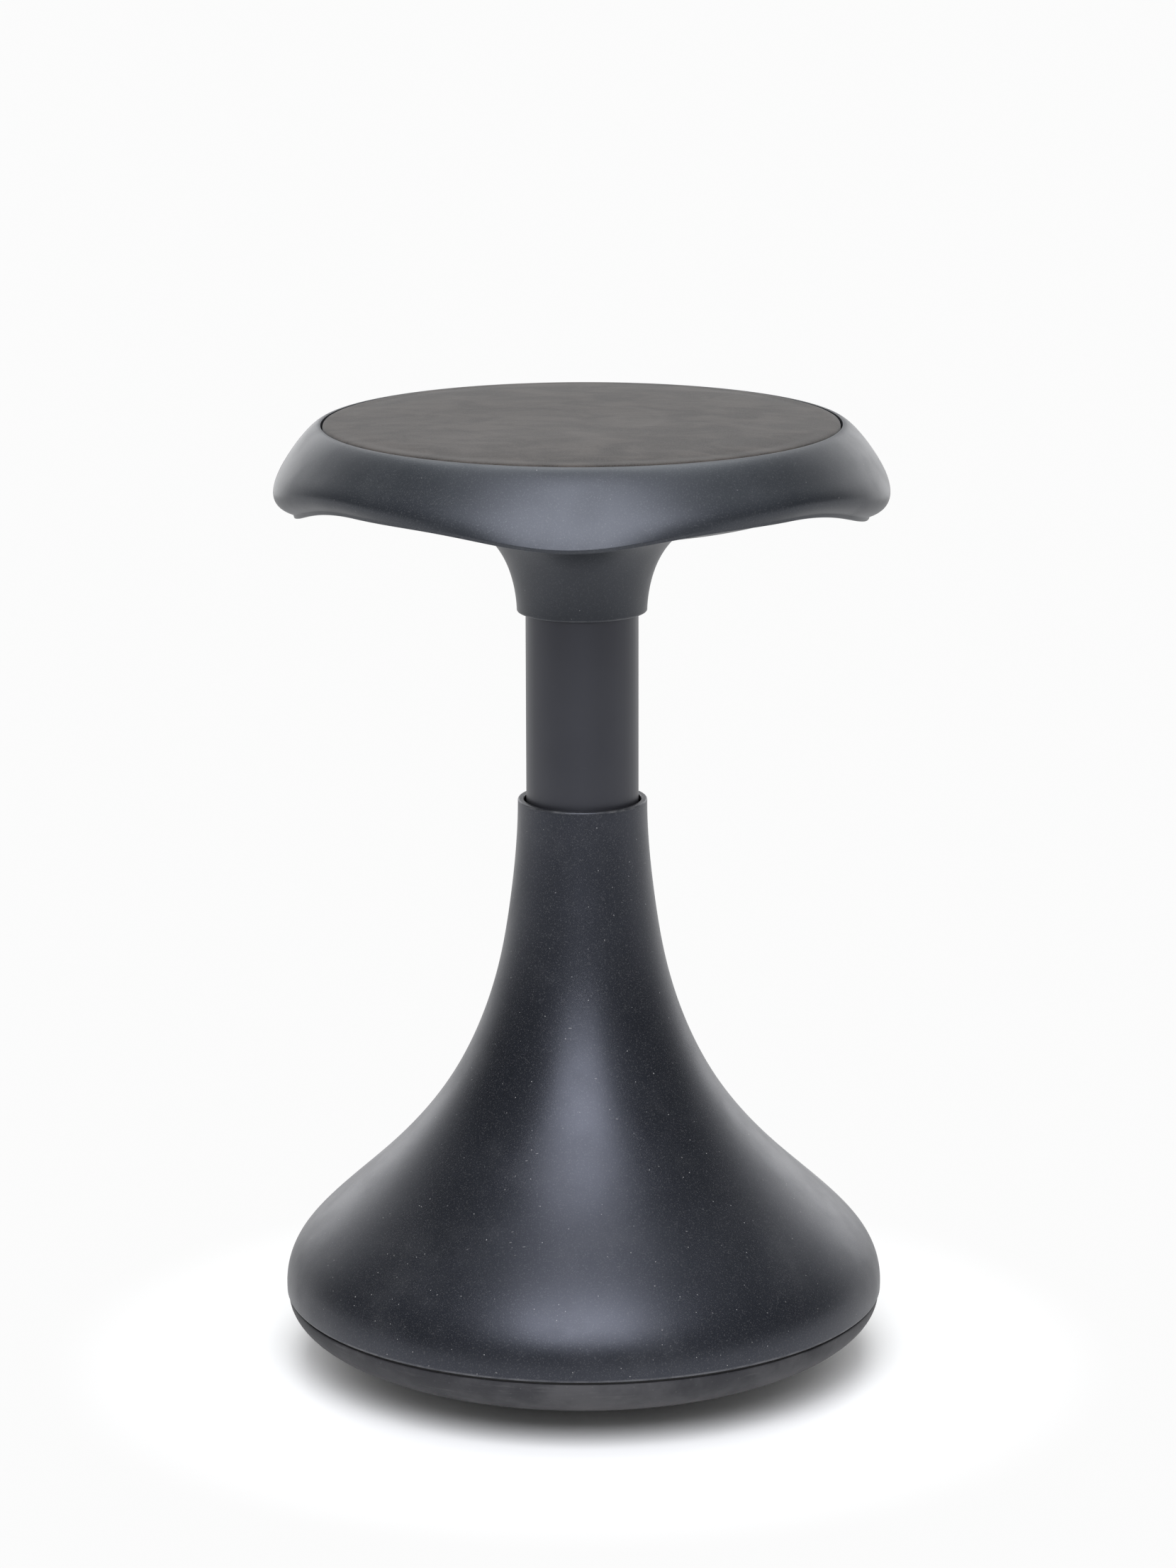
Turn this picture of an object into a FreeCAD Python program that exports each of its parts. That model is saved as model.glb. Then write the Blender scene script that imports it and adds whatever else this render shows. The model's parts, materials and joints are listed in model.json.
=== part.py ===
import FreeCAD, Part
import Sketcher
import math
import os

# Wobble stool: a weighted rocking foot under a flared bell, a gas lift in a telescoping column,
# and a round seat with a scalloped skirt. Millimetres, +Z up, origin on the floor under the axis.
# The front of the stool faces -Y.

SIZES = [
    ("foot_flat_radius", 50.0, "flat the stool rests on, in the middle of the rocker"),
    ("foot_radius", 182.0, "rubber foot at its top edge"),
    ("foot_fullness", 0.5, "foot's fullest place past its top edge"),
    ("foot_height", 44.3, "floor to the foot's top edge"),
    ("foot_wall", 5.0, "rubber thickness"),
    ("seam_height", 1.7, "dark seam between foot and bell"),
    ("seam_inset", 2.2, "how far the seam lies inside the bell"),
    ("tray_wall", 4.0, "base tray thickness"),
    ("tray_clearance", 0.5, "air between foot and tray beside the flat"),
    ("bell_overhang", 1.2, "bell past the foot at the seam"),
    ("bell_wall", 4.0, "bell wall"),
    ("bell_ledge", 30.0, "width of the bell's inner ledge"),
    ("bell_rim_upright", 4.5, "how far the bell's rim starts out upright"),
    ("bell_height", 308.4, "seam to the bell's mouth"),
    ("mouth_wall", 3.8, "bell wall at the mouth"),
    ("mouth_gap", 1.4, "air between mouth and column"),
    ("lip_round", 1.2, "rounding of the mouth's lip"),
    ("rim_screw_inset", 26.0, "ring of tray screws inside the foot's edge"),
    ("rim_boss_height", 18.5, "tray screw bosses below the seam's top"),
    ("rim_head_recess", 5.5, "tray screw's seat above its boss's end"),
    ("blind_hole_cap", 2.0, "plastic over the end of a bell boss's hole"),
    ("screw_tip_gap", 1.0, "air past a screw's tip"),
    ("rim_boss_radius", 6.0, "tray and bell screw bosses"),
    ("rim_screw_radius", 2.0, "tray screw shank"),
    ("rim_head_radius", 3.6, "tray screw head"),
    ("rim_head_height", 3.0, "tray screw head"),
    ("rim_screw_reach", 16.0, "shank inside the bell's boss"),
    ("rim_screw_count", 6, "tray screws"),
    ("screw_clearance", 0.1, "air round every screw shank"),
    ("ballast_bore", 28.0, "hole in both ballast plates"),
    ("ballast_lower_inset", 62.0, "lower ballast plate inside the foot's edge"),
    ("ballast_lower_thickness", 14.0, "lower ballast plate over the flat"),
    ("ballast_lower_edge", 5.0, "edge thickness of the lower plate"),
    ("ballast_upper_inset", 46.0, "upper ballast plate inside the foot's edge"),
    ("ballast_upper_thickness", 4.0, "upper ballast plate"),
    ("hub_flange_radius", 70.0, "hub foot plate"),
    ("hub_flange_thickness", 6.0, "hub foot plate"),
    ("hub_wall", 5.0, "hub barrel wall"),
    ("hub_height", 55.0, "hub over the ballast"),
    ("hub_bolt_circle", 42.0, "radius of the ring of hub bolts"),
    ("hub_bolt_radius", 4.0, "hub bolt shank"),
    ("hub_bolt_head_radius", 6.0, "hub bolt head"),
    ("hub_bolt_head_height", 5.0, "hub bolt head"),
    ("hub_gusset_thickness", 5.0, "webs between barrel and foot plate"),
    ("hub_gusset_margin", 4.0, "webs inside the foot plate's edge"),
    ("hub_gusset_drop", 5.0, "webs below the barrel's end"),
    ("root_overlap", 1.0, "how far a web or boss is sunk into what carries it"),
    ("stand_tube_radius", 25.0, "gas lift outer tube"),
    ("stand_tube_wall", 1.5, "gas lift outer tube"),
    ("stand_tube_floor", 3.0, "closed lower end of the outer tube"),
    ("stand_tube_length", 392.0, "gas lift outer tube"),
    ("tube_drop", 3.0, "outer tube's end above the hub's underside"),
    ("guide_bush_length", 60.0, "plastic bush at the outer tube's top"),
    ("guide_bush_head", 3.0, "bush flange on the tube's end"),
    ("collar_length", 30.0, "ring that steadies the column"),
    ("collar_drop", 5.0, "ring below the outer tube's end"),
    ("collar_gap", 0.3, "air between ring and column"),
    ("pressure_tube_radius", 14.0, "gas lift inner tube"),
    ("pressure_tube_wall", 1.5, "gas lift inner tube"),
    ("pressure_tube_cap", 6.0, "closed upper end of the inner tube"),
    ("pressure_tube_bottom", 100.0, "inner tube's lower end at the lowest seat"),
    ("gland_length", 12.0, "seal round the rod"),
    ("running_gap", 0.05, "radial clearance of everything that turns or slides"),
    ("rod_radius", 5.0, "piston rod"),
    ("rod_neck_radius", 4.2, "rod through the outer tube's floor"),
    ("rod_top", 388.0, "upper end of the rod"),
    ("rod_end_reach", 3.0, "rod below the outer tube"),
    ("rod_end_play", 0.3, "air at the rod's shoulder and at its clip"),
    ("rod_past_piston", 1.0, "rod above the piston"),
    ("piston_length", 14.0, "piston on the rod"),
    ("clip_radius", 9.0, "retaining clip under the outer tube"),
    ("clip_thickness", 1.8, "retaining clip under the outer tube"),
    ("race_radius", 13.0, "thrust bearing washers"),
    ("race_thickness", 2.0, "thrust bearing washers"),
    ("ball_radius", 1.8, "thrust bearing balls"),
    ("ball_circle", 9.5, "radius of the ring of balls"),
    ("ball_count", 10, "thrust bearing balls"),
    ("ball_gap", 0.1, "air above and below the balls"),
    ("bump_stop_radius", 11.0, "rubber buffer on the rod"),
    ("bump_stop_waist", 3.0, "how much the buffer draws in halfway up"),
    ("bump_stop_gap", 4.0, "air between buffer and inner tube"),
    ("column_radius", 34.0, "visible column"),
    ("column_wall", 2.5, "visible column"),
    ("column_bottom", 95.0, "column's lower end at the lowest seat"),
    ("column_drop", 72.0, "column's upper end below the pad's edge"),
    ("horn_drop", 113.9, "trumpet's lower edge below the pad's edge"),
    ("horn_wall", 5.2, "trumpet's wall round the column"),
    ("horn_grip", 14.0, "height over which the trumpet holds the column"),
    ("pan_wall", 3.0, "seat underside skin"),
    ("pan_rim_gap", 2.0, "air between the underside's edge and the skirt's lip"),
    ("pan_flange_width", 15.0, "straight sloping edge of the underside"),
    ("pan_flange_drop", 37.9, "where the underside turns straight, below the pad's edge"),
    ("pan_edge_rise", 8.8, "outer edge above the place where it turns straight"),
    ("pan_slot_start", 11.0, "lever slot in the underside, past the lever's bend"),
    ("pan_slot_length", 24.0, "lever slot in the underside"),
    ("pan_slot_width", 24.0, "lever slot in the underside"),
    ("seat_plane", 584.0, "floor to the pad's edge"),
    ("pad_radius", 154.2, "seat pad"),
    ("pad_gap", 1.2, "dark gap round the pad"),
    ("pad_crown", 3.2, "pad's centre above its edge"),
    ("pad_edge_drop", 1.0, "where the pad's side starts to turn over"),
    ("pad_thickness", 7.5, "foam at the pad's edge"),
    ("pad_board_thickness", 3.0, "carrier board under the foam"),
    ("pad_board_inset", 0.8, "board inside the foam's edge"),
    ("pad_roll_width", 14.0, "pad's rolled edge, measured inwards"),
    ("pad_roll_height", 0.4, "control height of the rolled edge"),
    ("shell_wall", 3.0, "seat shell"),
    ("shell_floor", 3.0, "shell floor under the board"),
    ("rim_bulge_radius", 190.0, "control radius of the skirt's widest place"),
    ("rim_lip_radius", 171.0, "inner edge of the skirt's lip"),
    ("rim_lip_width", 3.9, "flat lower face of the lip"),
    ("rim_brow_inset", 11.1, "skirt's shoulder inside its widest place"),
    ("rim_edge_round", 4.3, "rolled edge beside the pad"),
    ("skirt_root_inset", 9.0, "skirt's root inside its lip"),
    ("floor_overlap", 1.5, "shell floor sunk into the skirt"),
    ("rim_depth_side", 56.0, "skirt at the left and right lobes"),
    ("rim_depth_front", 46.2, "skirt at the front and back lobes"),
    ("rim_depth_arch", 36.2, "skirt at the four arches"),
    ("plate_half_width", 73.0, "steel seat plate"),
    ("plate_corner", 40.0, "cut corners of the seat plate"),
    ("plate_thickness", 3.0, "steel seat plate"),
    ("plate_bolt_circle", 65.0, "radius of the ring of plate bolts"),
    ("plate_bolt_radius", 3.0, "plate bolt shank"),
    ("plate_bolt_head_radius", 5.0, "plate bolt head"),
    ("plate_bolt_head_height", 4.0, "plate bolt head"),
    ("plate_boss_radius", 7.0, "shell bosses for the plate"),
    ("plate_boss_height", 11.5, "shell bosses for the plate"),
    ("plate_bolt_reach", 9.0, "bolt inside the shell's boss"),
    ("socket_wall", 6.0, "welded socket on the inner tube's top"),
    ("socket_drop", 26.0, "socket below the plate"),
    ("pan_screw_inset", 42.0, "ring of underside screws inside the underside's straight edge"),
    ("pan_boss_radius", 7.0, "bosses for the underside screws"),
    ("pan_boss_drop", 42.0, "where shell and underside bosses meet, below the pad's edge"),
    ("pan_boss_length", 9.4, "underside's bosses"),
    ("pan_head_cover", 6.0, "underside's boss over the screw heads"),
    ("pan_head_access", 12.0, "clear depth below the screw heads' seat"),
    ("pan_screw_radius", 2.0, "underside screw shank"),
    ("pan_screw_reach", 14.0, "underside screw inside the shell's boss"),
    ("pan_head_radius", 4.0, "underside screw head"),
    ("pan_head_height", 3.0, "underside screw head"),
    ("lever_azimuth", 45.0, "lever towards the back right"),
    ("lever_thickness", 3.0, "steel strip"),
    ("lever_width", 16.0, "steel strip"),
    ("lever_pivot_reach", 30.0, "pivot from the stool's axis"),
    ("lever_pivot_height", 5.0, "pivot above the plate"),
    ("lever_tip_overlap", 5.0, "tip past the stool's axis"),
    ("lever_hub_radius", 3.5, "metal round the pivot"),
    ("lever_hub_slope", 3.0, "slopes between the strip and the metal round the pivot"),
    ("lever_bend_reach", 77.0, "where the strip turns down"),
    ("lever_bend_ease", 2.2, "upper corners of the bends past the lower ones"),
    ("lever_bend_run", 30.0, "sloping part, measured outwards"),
    ("lever_drop", 49.5, "strip's lower run below the pivot"),
    ("lever_reach", 160.0, "end of the strip"),
    ("pivot_pin_radius", 2.0, "lever pin"),
    ("cheek_gap", 0.4, "air beside the lever"),
    ("cheek_thickness", 2.5, "bracket cheeks"),
    ("cheek_length", 14.0, "bracket cheeks"),
    ("bridge_thickness", 1.2, "web between the cheeks"),
    ("pin_overhang", 1.6, "pin past the cheeks"),
    ("grip_length", 49.0, "lever grip"),
    ("grip_width", 44.0, "lever grip"),
    ("grip_height", 10.0, "lever grip"),
    ("grip_overhang", 5.0, "grip past the strip"),
    ("grip_round", 3.0, "grip's edges"),
    ("valve_radius", 3.0, "release pin"),
    ("valve_height", 7.0, "release pin above the inner tube"),
    ("valve_round", 1.0, "release pin's rounded end"),
    ("valve_depth", 14.0, "release pin inside the inner tube"),
    ("valve_lever_gap", 0.4, "air between release pin and lever"),
]


class Size:
    """A length: its value now, and the formula over the sheet's cells that gives it."""

    def __init__(self, value, formula):
        self.value = value
        self.formula = formula

    def __add__(self, other):
        other = size(other)
        return Size(self.value + other.value, "(%s + %s)" % (self.formula, other.formula))

    def __sub__(self, other):
        other = size(other)
        return Size(self.value - other.value, "(%s - %s)" % (self.formula, other.formula))

    def __mul__(self, other):
        other = size(other)
        return Size(self.value * other.value, "(%s * %s)" % (self.formula, other.formula))

    def __truediv__(self, other):
        other = size(other)
        return Size(self.value / other.value, "(%s / %s)" % (self.formula, other.formula))

    def __radd__(self, other):
        return size(other) + self

    def __rsub__(self, other):
        return size(other) - self

    def __rmul__(self, other):
        return size(other) * self

    def __neg__(self):
        return self * -1


def size(number):
    if isinstance(number, Size):
        return number
    return Size(float(number), "%.9g" % number)


class Sizes:
    """Every driving size by its name."""


V = FreeCAD.Vector
doc = FreeCAD.newDocument("WobbleStool")
sheet = doc.addObject("Spreadsheet::Sheet", "sizes")
S = Sizes()
for row, (alias, number, note) in enumerate(SIZES, start=1):
    sheet.set("A%d" % row, "%g" % number)
    sheet.setAlias("A%d" % row, alias)
    sheet.set("B%d" % row, note)
    setattr(S, alias, Size(number, "sizes." + alias))
doc.recompute()

nodes = {}


def origin(body, role):
    return next(item for item in body.Origin.OriginFeatures if item.Role == role)


def new_body(name):
    body = doc.addObject("PartDesign::Body", "body_" + name)
    body.Label = name
    nodes[name] = body
    return body


def new_sketch(body, role, level=0):
    """A sketch on one of the body's own planes, moved along the plane's normal."""
    sketch = body.newObject("Sketcher::SketchObject", body.Label + "_sketch")
    sketch.AttachmentSupport = [(origin(body, role), "")]
    sketch.MapMode = "FlatFace"
    sketch.setExpression("AttachmentOffset.Base.z", size(level).formula)
    return sketch


def fix_point(sketch, geometry, place, x, y):
    for kind, length in (("DistanceX", size(x)), ("DistanceY", size(y))):
        index = sketch.addConstraint(Sketcher.Constraint(kind, -1, 1, geometry, place, length.value))
        sketch.setExpression("Constraints[%d]" % index, length.formula)


def draw_outline(sketch, start, steps):
    """A closed outline. A step of one point is a line, a step of more is a curve over those poles."""
    points = [start] + [step[-1] for step in steps]
    edges = []
    inner_poles = []
    for here, step in zip(points, steps):
        poles = [V(size(x).value, size(y).value, 0) for x, y in [here] + step]
        if len(poles) == 2:
            edges.append(sketch.addGeometry(Part.LineSegment(*poles), False))
            continue
        curve = Part.BSplineCurve()
        curve.buildFromPoles(poles, False, 3)
        edge = sketch.addGeometry(curve, False)
        sketch.exposeInternalGeometry(edge)
        edges.append(edge)
        inner_poles += [(edge + 2 + k, pole) for k, pole in enumerate(step[:-1])]
    last = [V(size(x).value, size(y).value, 0) for x, y in (points[-1], start)]
    edges.append(sketch.addGeometry(Part.LineSegment(*last), False))
    for edge, following in zip(edges, edges[1:] + edges[:1]):
        sketch.addConstraint(Sketcher.Constraint("Coincident", edge, 2, following, 1))
    for edge, (x, y) in zip(edges, points):
        fix_point(sketch, edge, 1, x, y)
    for pole, (x, y) in inner_poles:
        fix_point(sketch, pole, 3, x, y)


def draw_circle(sketch, x, y, radius):
    radius = size(radius)
    centre = V(size(x).value, size(y).value, 0)
    edge = sketch.addGeometry(Part.Circle(centre, V(0, 0, 1), radius.value), False)
    fix_point(sketch, edge, 3, x, y)
    index = sketch.addConstraint(Sketcher.Constraint("Radius", edge, radius.value))
    sketch.setExpression("Constraints[%d]" % index, radius.formula)


def draw_box(sketch, left, right, low, high):
    draw_outline(sketch, (left, low), [[(right, low)], [(right, high)], [(left, high)]])


def revolve(body, start, steps):
    """Turn an outline of (radius, height) points about the stool's axis."""
    sketch = new_sketch(body, "XZ_Plane")
    draw_outline(sketch, start, steps)
    turned = body.newObject("PartDesign::Revolution", body.Label + "_turned")
    turned.Profile = sketch
    turned.ReferenceAxis = (sketch, ["V_Axis"])
    turned.Angle = 360
    return turned


def ring(name, inner, outer, low, high):
    body = new_body(name)
    revolve(body, (inner, low), [[(outer, low)], [(outer, high)], [(inner, high)]])
    return body


def extrude(body, sketch, kind, length, both_ways=False, downwards=False):
    """A pad or a pocket as long as the length, upwards unless told otherwise."""
    feature = body.newObject("PartDesign::" + kind, body.Label + "_" + kind.lower())
    feature.Profile = sketch
    feature.Type = 0
    feature.Midplane = both_ways
    feature.Reversed = downwards != (kind == "Pocket")
    feature.setExpression("Length", size(length).formula)
    doc.recompute()
    return feature


def around(body, feature, count):
    """Repeat a feature evenly round the stool's axis."""
    pattern = body.newObject("PartDesign::PolarPattern", body.Label + "_ring")
    pattern.Originals = [feature]
    pattern.Axis = (origin(body, "Z_Axis"), [""])
    pattern.Angle = 360
    pattern.setExpression("Occurrences", size(count).formula)
    body.Tip = pattern
    doc.recompute()
    return pattern


def round_spots(body, kind, count, circle, radius, low, high, turn=0.0):
    """A ring of round bosses or holes between two heights."""
    before = body.Shape.Volume
    sketch = new_sketch(body, "XY_Plane", low)
    draw_circle(sketch, circle * math.cos(math.radians(turn)), circle * math.sin(math.radians(turn)), radius)
    around(body, extrude(body, sketch, kind, high - low), count)
    change = body.Shape.Volume - before
    if (change < 0) != (kind == "Pocket") or change == 0:
        raise RuntimeError("%s: a ring of %s changed nothing" % (body.Label, kind))


def screws(name, count, circle, spans, turn=0.0):
    """Equal screws on a circle. Each span is (radius, low, high), from the lowest up."""
    body = new_body(name)
    sketch = new_sketch(body, "XZ_Plane")
    steps = []
    for radius, low, high in spans:
        steps += [[(circle + radius, low)], [(circle + radius, high)]]
    draw_outline(sketch, (circle, spans[0][1]), steps + [[(circle, spans[-1][2])]])
    foot = V(circle.value, size(spans[0][1]).value, 0)
    axis = sketch.addGeometry(Part.LineSegment(foot, foot + V(0, 1, 0)), True)
    fix_point(sketch, axis, 1, circle, spans[0][1])
    fix_point(sketch, axis, 2, circle, spans[0][1] + 1)
    one = body.newObject("PartDesign::Revolution", name + "_turned")
    one.Profile = sketch
    one.ReferenceAxis = (sketch, ["Axis0"])
    one.Angle = 360
    doc.recompute()
    around(body, one, count)
    body.Placement = FreeCAD.Placement(V(0, 0, 0), FreeCAD.Rotation(V(0, 0, 1), turn))
    return body


def soften(body, length, wanted):
    """Round the edges that a test on the edge accepts."""
    tip = body.Tip
    names = ["Edge%d" % (k + 1) for k, edge in enumerate(tip.Shape.Edges) if wanted(edge)]
    feature = body.newObject("PartDesign::Fillet", body.Label + "_fillet")
    feature.Base = (tip, names)
    feature.setExpression("Radius", size(length).formula)
    doc.recompute()


def share(low, high, part):
    return low + (high - low) * part


# Heights that several pieces share
seam_top = S.foot_height + S.seam_height
tray_floor = S.foot_wall + S.tray_wall
ballast_seam = tray_floor + S.ballast_lower_thickness
ballast_top = ballast_seam + S.ballast_upper_thickness
hub_plate_top = ballast_top + S.hub_flange_thickness
tube_bottom = ballast_top + S.tube_drop
tube_inside_floor = tube_bottom + S.stand_tube_floor
tube_top = tube_bottom + S.stand_tube_length
shell_floor_top = S.seat_plane - S.pad_thickness - S.pad_board_thickness
shell_floor_bottom = shell_floor_top - S.shell_floor
plate_top = shell_floor_bottom - S.plate_boss_height
plate_bottom = plate_top - S.plate_thickness


def rocker_curve(inset, floor):
    """The rocker's curve from the flat out and up to the seam, an inset inside the rubber's outside."""
    flat = S.foot_flat_radius
    return [
        (flat, floor),
        (share(flat, S.foot_radius, 0.172), floor),
        (share(flat, S.foot_radius, 0.961) - inset * 0.75, S.foot_height * 0.348 + inset * 0.8),
        (S.foot_radius + S.foot_fullness - inset, S.foot_height * 0.88),
        (S.foot_radius - inset, S.foot_height),
    ]


# Rubber foot
foot = new_body("rubber_foot")
outside = rocker_curve(size(0), size(0))
inside = rocker_curve(S.foot_wall, S.foot_wall)
revolve(foot, (0, 0), [[outside[0]], outside[1:], [inside[-1]], inside[-2::-1], [(0, S.foot_wall)]])

# Base tray: sits in the foot, carries the ballast, and its thin flange is the dark seam
tray = new_body("base_tray")
tray_inset = S.foot_wall + S.tray_clearance
outside = rocker_curve(tray_inset, S.foot_wall)
inside = rocker_curve(tray_inset + S.tray_wall, tray_floor)
bell_radius = S.foot_radius + S.bell_overhang
flange_radius = bell_radius - S.seam_inset
tray_inner_radius = S.foot_radius - tray_inset - S.tray_wall
revolve(tray, (0, S.foot_wall), [
    [outside[0]], outside[1:], [(flange_radius, S.foot_height)], [(flange_radius, seam_top)],
    [(tray_inner_radius, seam_top)], [inside[-1]], inside[-2::-1], [(0, tray_floor)]])
doc.recompute()
rim_screw_circle = S.foot_radius - S.rim_screw_inset
tray_boss_bottom = seam_top - S.rim_boss_height
rim_head_seat = tray_boss_bottom + S.rim_head_recess
rim_head_bottom = rim_head_seat - S.rim_head_height
round_spots(tray, "Pad", S.rim_screw_count, rim_screw_circle, S.rim_boss_radius, tray_boss_bottom, seam_top)
round_spots(tray, "Pocket", S.rim_screw_count, rim_screw_circle, S.rim_head_radius + 3 * S.screw_clearance,
            size(0), rim_head_seat)
round_spots(tray, "Pocket", S.rim_screw_count, rim_screw_circle, S.rim_screw_radius + S.screw_clearance,
            rim_head_seat, seam_top)
round_spots(tray, "Pocket", 4, S.hub_bolt_circle, S.hub_bolt_radius + S.screw_clearance,
            S.foot_wall, tray_floor, 45)

# Ballast: two cast plates
lower_radius = S.foot_radius - S.ballast_lower_inset
upper_radius = S.foot_radius - S.ballast_upper_inset
lower_plate = new_body("ballast_lower")
revolve(lower_plate, (S.ballast_bore, tray_floor), [
    [(S.foot_flat_radius, tray_floor)],
    [(lower_radius, ballast_seam - S.ballast_lower_edge)],
    [(lower_radius, ballast_seam)],
    [(S.ballast_bore, ballast_seam)]])
upper_plate = ring("ballast_upper", S.ballast_bore, upper_radius, ballast_seam, ballast_top)
doc.recompute()
for plate, low, high in ((lower_plate, tray_floor, ballast_seam), (upper_plate, ballast_seam, ballast_top)):
    round_spots(plate, "Pocket", 4, S.hub_bolt_circle, S.hub_bolt_radius + 3 * S.screw_clearance,
                low, high, 45)

# Hub: foot plate, barrel for the gas lift's outer tube, and four webs
hub = new_body("hub_socket")
hub_radius = S.stand_tube_radius + S.hub_wall
hub_top = ballast_top + S.hub_height
revolve(hub, (S.stand_tube_radius, ballast_top), [
    [(S.hub_flange_radius, ballast_top)], [(S.hub_flange_radius, hub_plate_top)],
    [(hub_radius, hub_plate_top)], [(hub_radius, hub_top)], [(S.stand_tube_radius, hub_top)]])
web = new_sketch(hub, "XZ_Plane")
web_root = hub_radius - S.root_overlap
web_foot = hub_plate_top - S.root_overlap
web_end = S.hub_flange_radius - S.hub_gusset_margin
web_top = hub_top - S.hub_gusset_drop
draw_outline(web, (web_root, web_foot), [
    [(web_end, web_foot)], [(web_end, hub_plate_top)], [(hub_radius, web_top)], [(web_root, web_top)]])
around(hub, extrude(hub, web, "Pad", S.hub_gusset_thickness, both_ways=True), 4)
round_spots(hub, "Pocket", 4, S.hub_bolt_circle, S.hub_bolt_radius + 3 * S.screw_clearance,
            ballast_top, hub_plate_top, 45)
screws("hub_bolts", 4, S.hub_bolt_circle, [
    (S.hub_bolt_radius, S.foot_wall + S.tray_clearance, hub_plate_top),
    (S.hub_bolt_head_radius, hub_plate_top, hub_plate_top + S.hub_bolt_head_height)], 45)


# Bell: a flared cover with a ledge inside its lower edge. Each pole of the flank is a share of the
# way out from the neck and of the way up from the seam.
BELL_FLANK = [(1.018, 0.090), (0.583, 0.251), (0.2715, 0.419), (0.0972, 0.6135), (0.0326, 0.781)]
BELL_INNER_SHIFT = [(-5.0, -2.6), (-4.0, -4.4), (-4.6, -2.4), (-4.2, -1.2), (-4.0, -0.4)]


def flank_poles(shifts):
    neck = S.column_radius + S.mouth_gap + S.mouth_wall
    walls = S.bell_wall / 4
    return [(share(neck, bell_radius, out) + walls * across,
             share(seam_top, mouth_height, up) + walls * along)
            for (out, up), (across, along) in zip(BELL_FLANK, shifts)]


bell = new_body("base_bell")
mouth_height = seam_top + S.bell_height
mouth_radius = S.column_radius + S.mouth_gap
neck_radius = mouth_radius + S.mouth_wall
ledge_top = seam_top + S.bell_wall
bell_inner_radius = bell_radius - S.bell_wall
outer_flank = flank_poles([(0, 0)] * len(BELL_FLANK))
inner_flank = flank_poles(BELL_INNER_SHIFT)
neck_start = share(seam_top, mouth_height, 0.927)
upright = S.bell_rim_upright
revolve(bell, (bell_inner_radius - S.bell_ledge, seam_top), [
    [(bell_radius, seam_top)],
    [(bell_radius, seam_top + upright)] + outer_flank
    + [(neck_radius, neck_start), (neck_radius, mouth_height)],
    [(mouth_radius, mouth_height)],
    [(mouth_radius, neck_start)] + inner_flank[::-1] + [(bell_inner_radius, ledge_top + upright),
                                                       (bell_inner_radius, ledge_top)],
    [(bell_inner_radius - S.bell_ledge, ledge_top)]])
doc.recompute()
mouth_level = mouth_height.value
soften(bell, S.lip_round, lambda edge: abs(edge.BoundBox.ZMin - mouth_level) < 0.01
       and abs(edge.BoundBox.ZMax - mouth_level) < 0.01)
bell_boss_top = ledge_top + S.rim_screw_reach
round_spots(bell, "Pad", S.rim_screw_count, rim_screw_circle, S.rim_boss_radius,
            ledge_top - S.root_overlap, bell_boss_top)
round_spots(bell, "Pocket", S.rim_screw_count, rim_screw_circle, S.rim_screw_radius + S.screw_clearance,
            seam_top, bell_boss_top - S.blind_hole_cap)
screws("tray_screws", S.rim_screw_count, rim_screw_circle, [
    (S.rim_head_radius, rim_head_bottom, rim_head_seat),
    (S.rim_screw_radius, rim_head_seat, bell_boss_top - S.blind_hole_cap - S.screw_tip_gap)])

# Gas lift, fixed part: outer tube in the hub, guide bush in its top, steadying ring round it
stand_inner_radius = S.stand_tube_radius - S.stand_tube_wall
stand_tube = new_body("lift_stand_tube")
rod_hole = S.rod_neck_radius + S.running_gap
revolve(stand_tube, (rod_hole, tube_bottom), [
    [(S.stand_tube_radius, tube_bottom)], [(S.stand_tube_radius, tube_top)],
    [(stand_inner_radius, tube_top)], [(stand_inner_radius, tube_inside_floor)],
    [(rod_hole, tube_inside_floor)]])
bush = new_body("lift_guide_bush")
bush_bore = S.pressure_tube_radius + S.running_gap
revolve(bush, (bush_bore, tube_top - S.guide_bush_length), [
    [(stand_inner_radius, tube_top - S.guide_bush_length)], [(stand_inner_radius, tube_top)],
    [(S.stand_tube_radius, tube_top)], [(S.stand_tube_radius, tube_top + S.guide_bush_head)],
    [(bush_bore, tube_top + S.guide_bush_head)]])
column_bore = S.column_radius - S.column_wall
collar_top = tube_top - S.collar_drop
ring("column_guide_ring", S.stand_tube_radius, column_bore - S.collar_gap,
     collar_top - S.collar_length, collar_top)

# Gas lift, turning part: rod, piston, thrust bearing, clip and buffer
race_bore = S.rod_radius + S.running_gap
lower_race_top = tube_inside_floor + S.race_thickness
ball_level = lower_race_top + S.ball_gap + S.ball_radius
upper_race_bottom = ball_level + S.ball_radius + S.ball_gap
upper_race_top = upper_race_bottom + S.race_thickness
ring("bearing_lower_race", race_bore, S.race_radius, tube_inside_floor, lower_race_top)
ring("bearing_upper_race", S.rod_radius, S.race_radius, upper_race_bottom, upper_race_top)
balls = new_body("bearing_balls")
ball = balls.newObject("PartDesign::AdditiveSphere", "bearing_ball")
ball.setExpression("Radius", S.ball_radius.formula)
ball.setExpression("AttachmentOffset.Base.x", S.ball_circle.formula)
ball.setExpression("AttachmentOffset.Base.z", ball_level.formula)
ball.AttachmentSupport = [(origin(balls, "XY_Plane"), "")]
ball.MapMode = "FlatFace"
doc.recompute()
around(balls, ball, S.ball_count)

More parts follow.
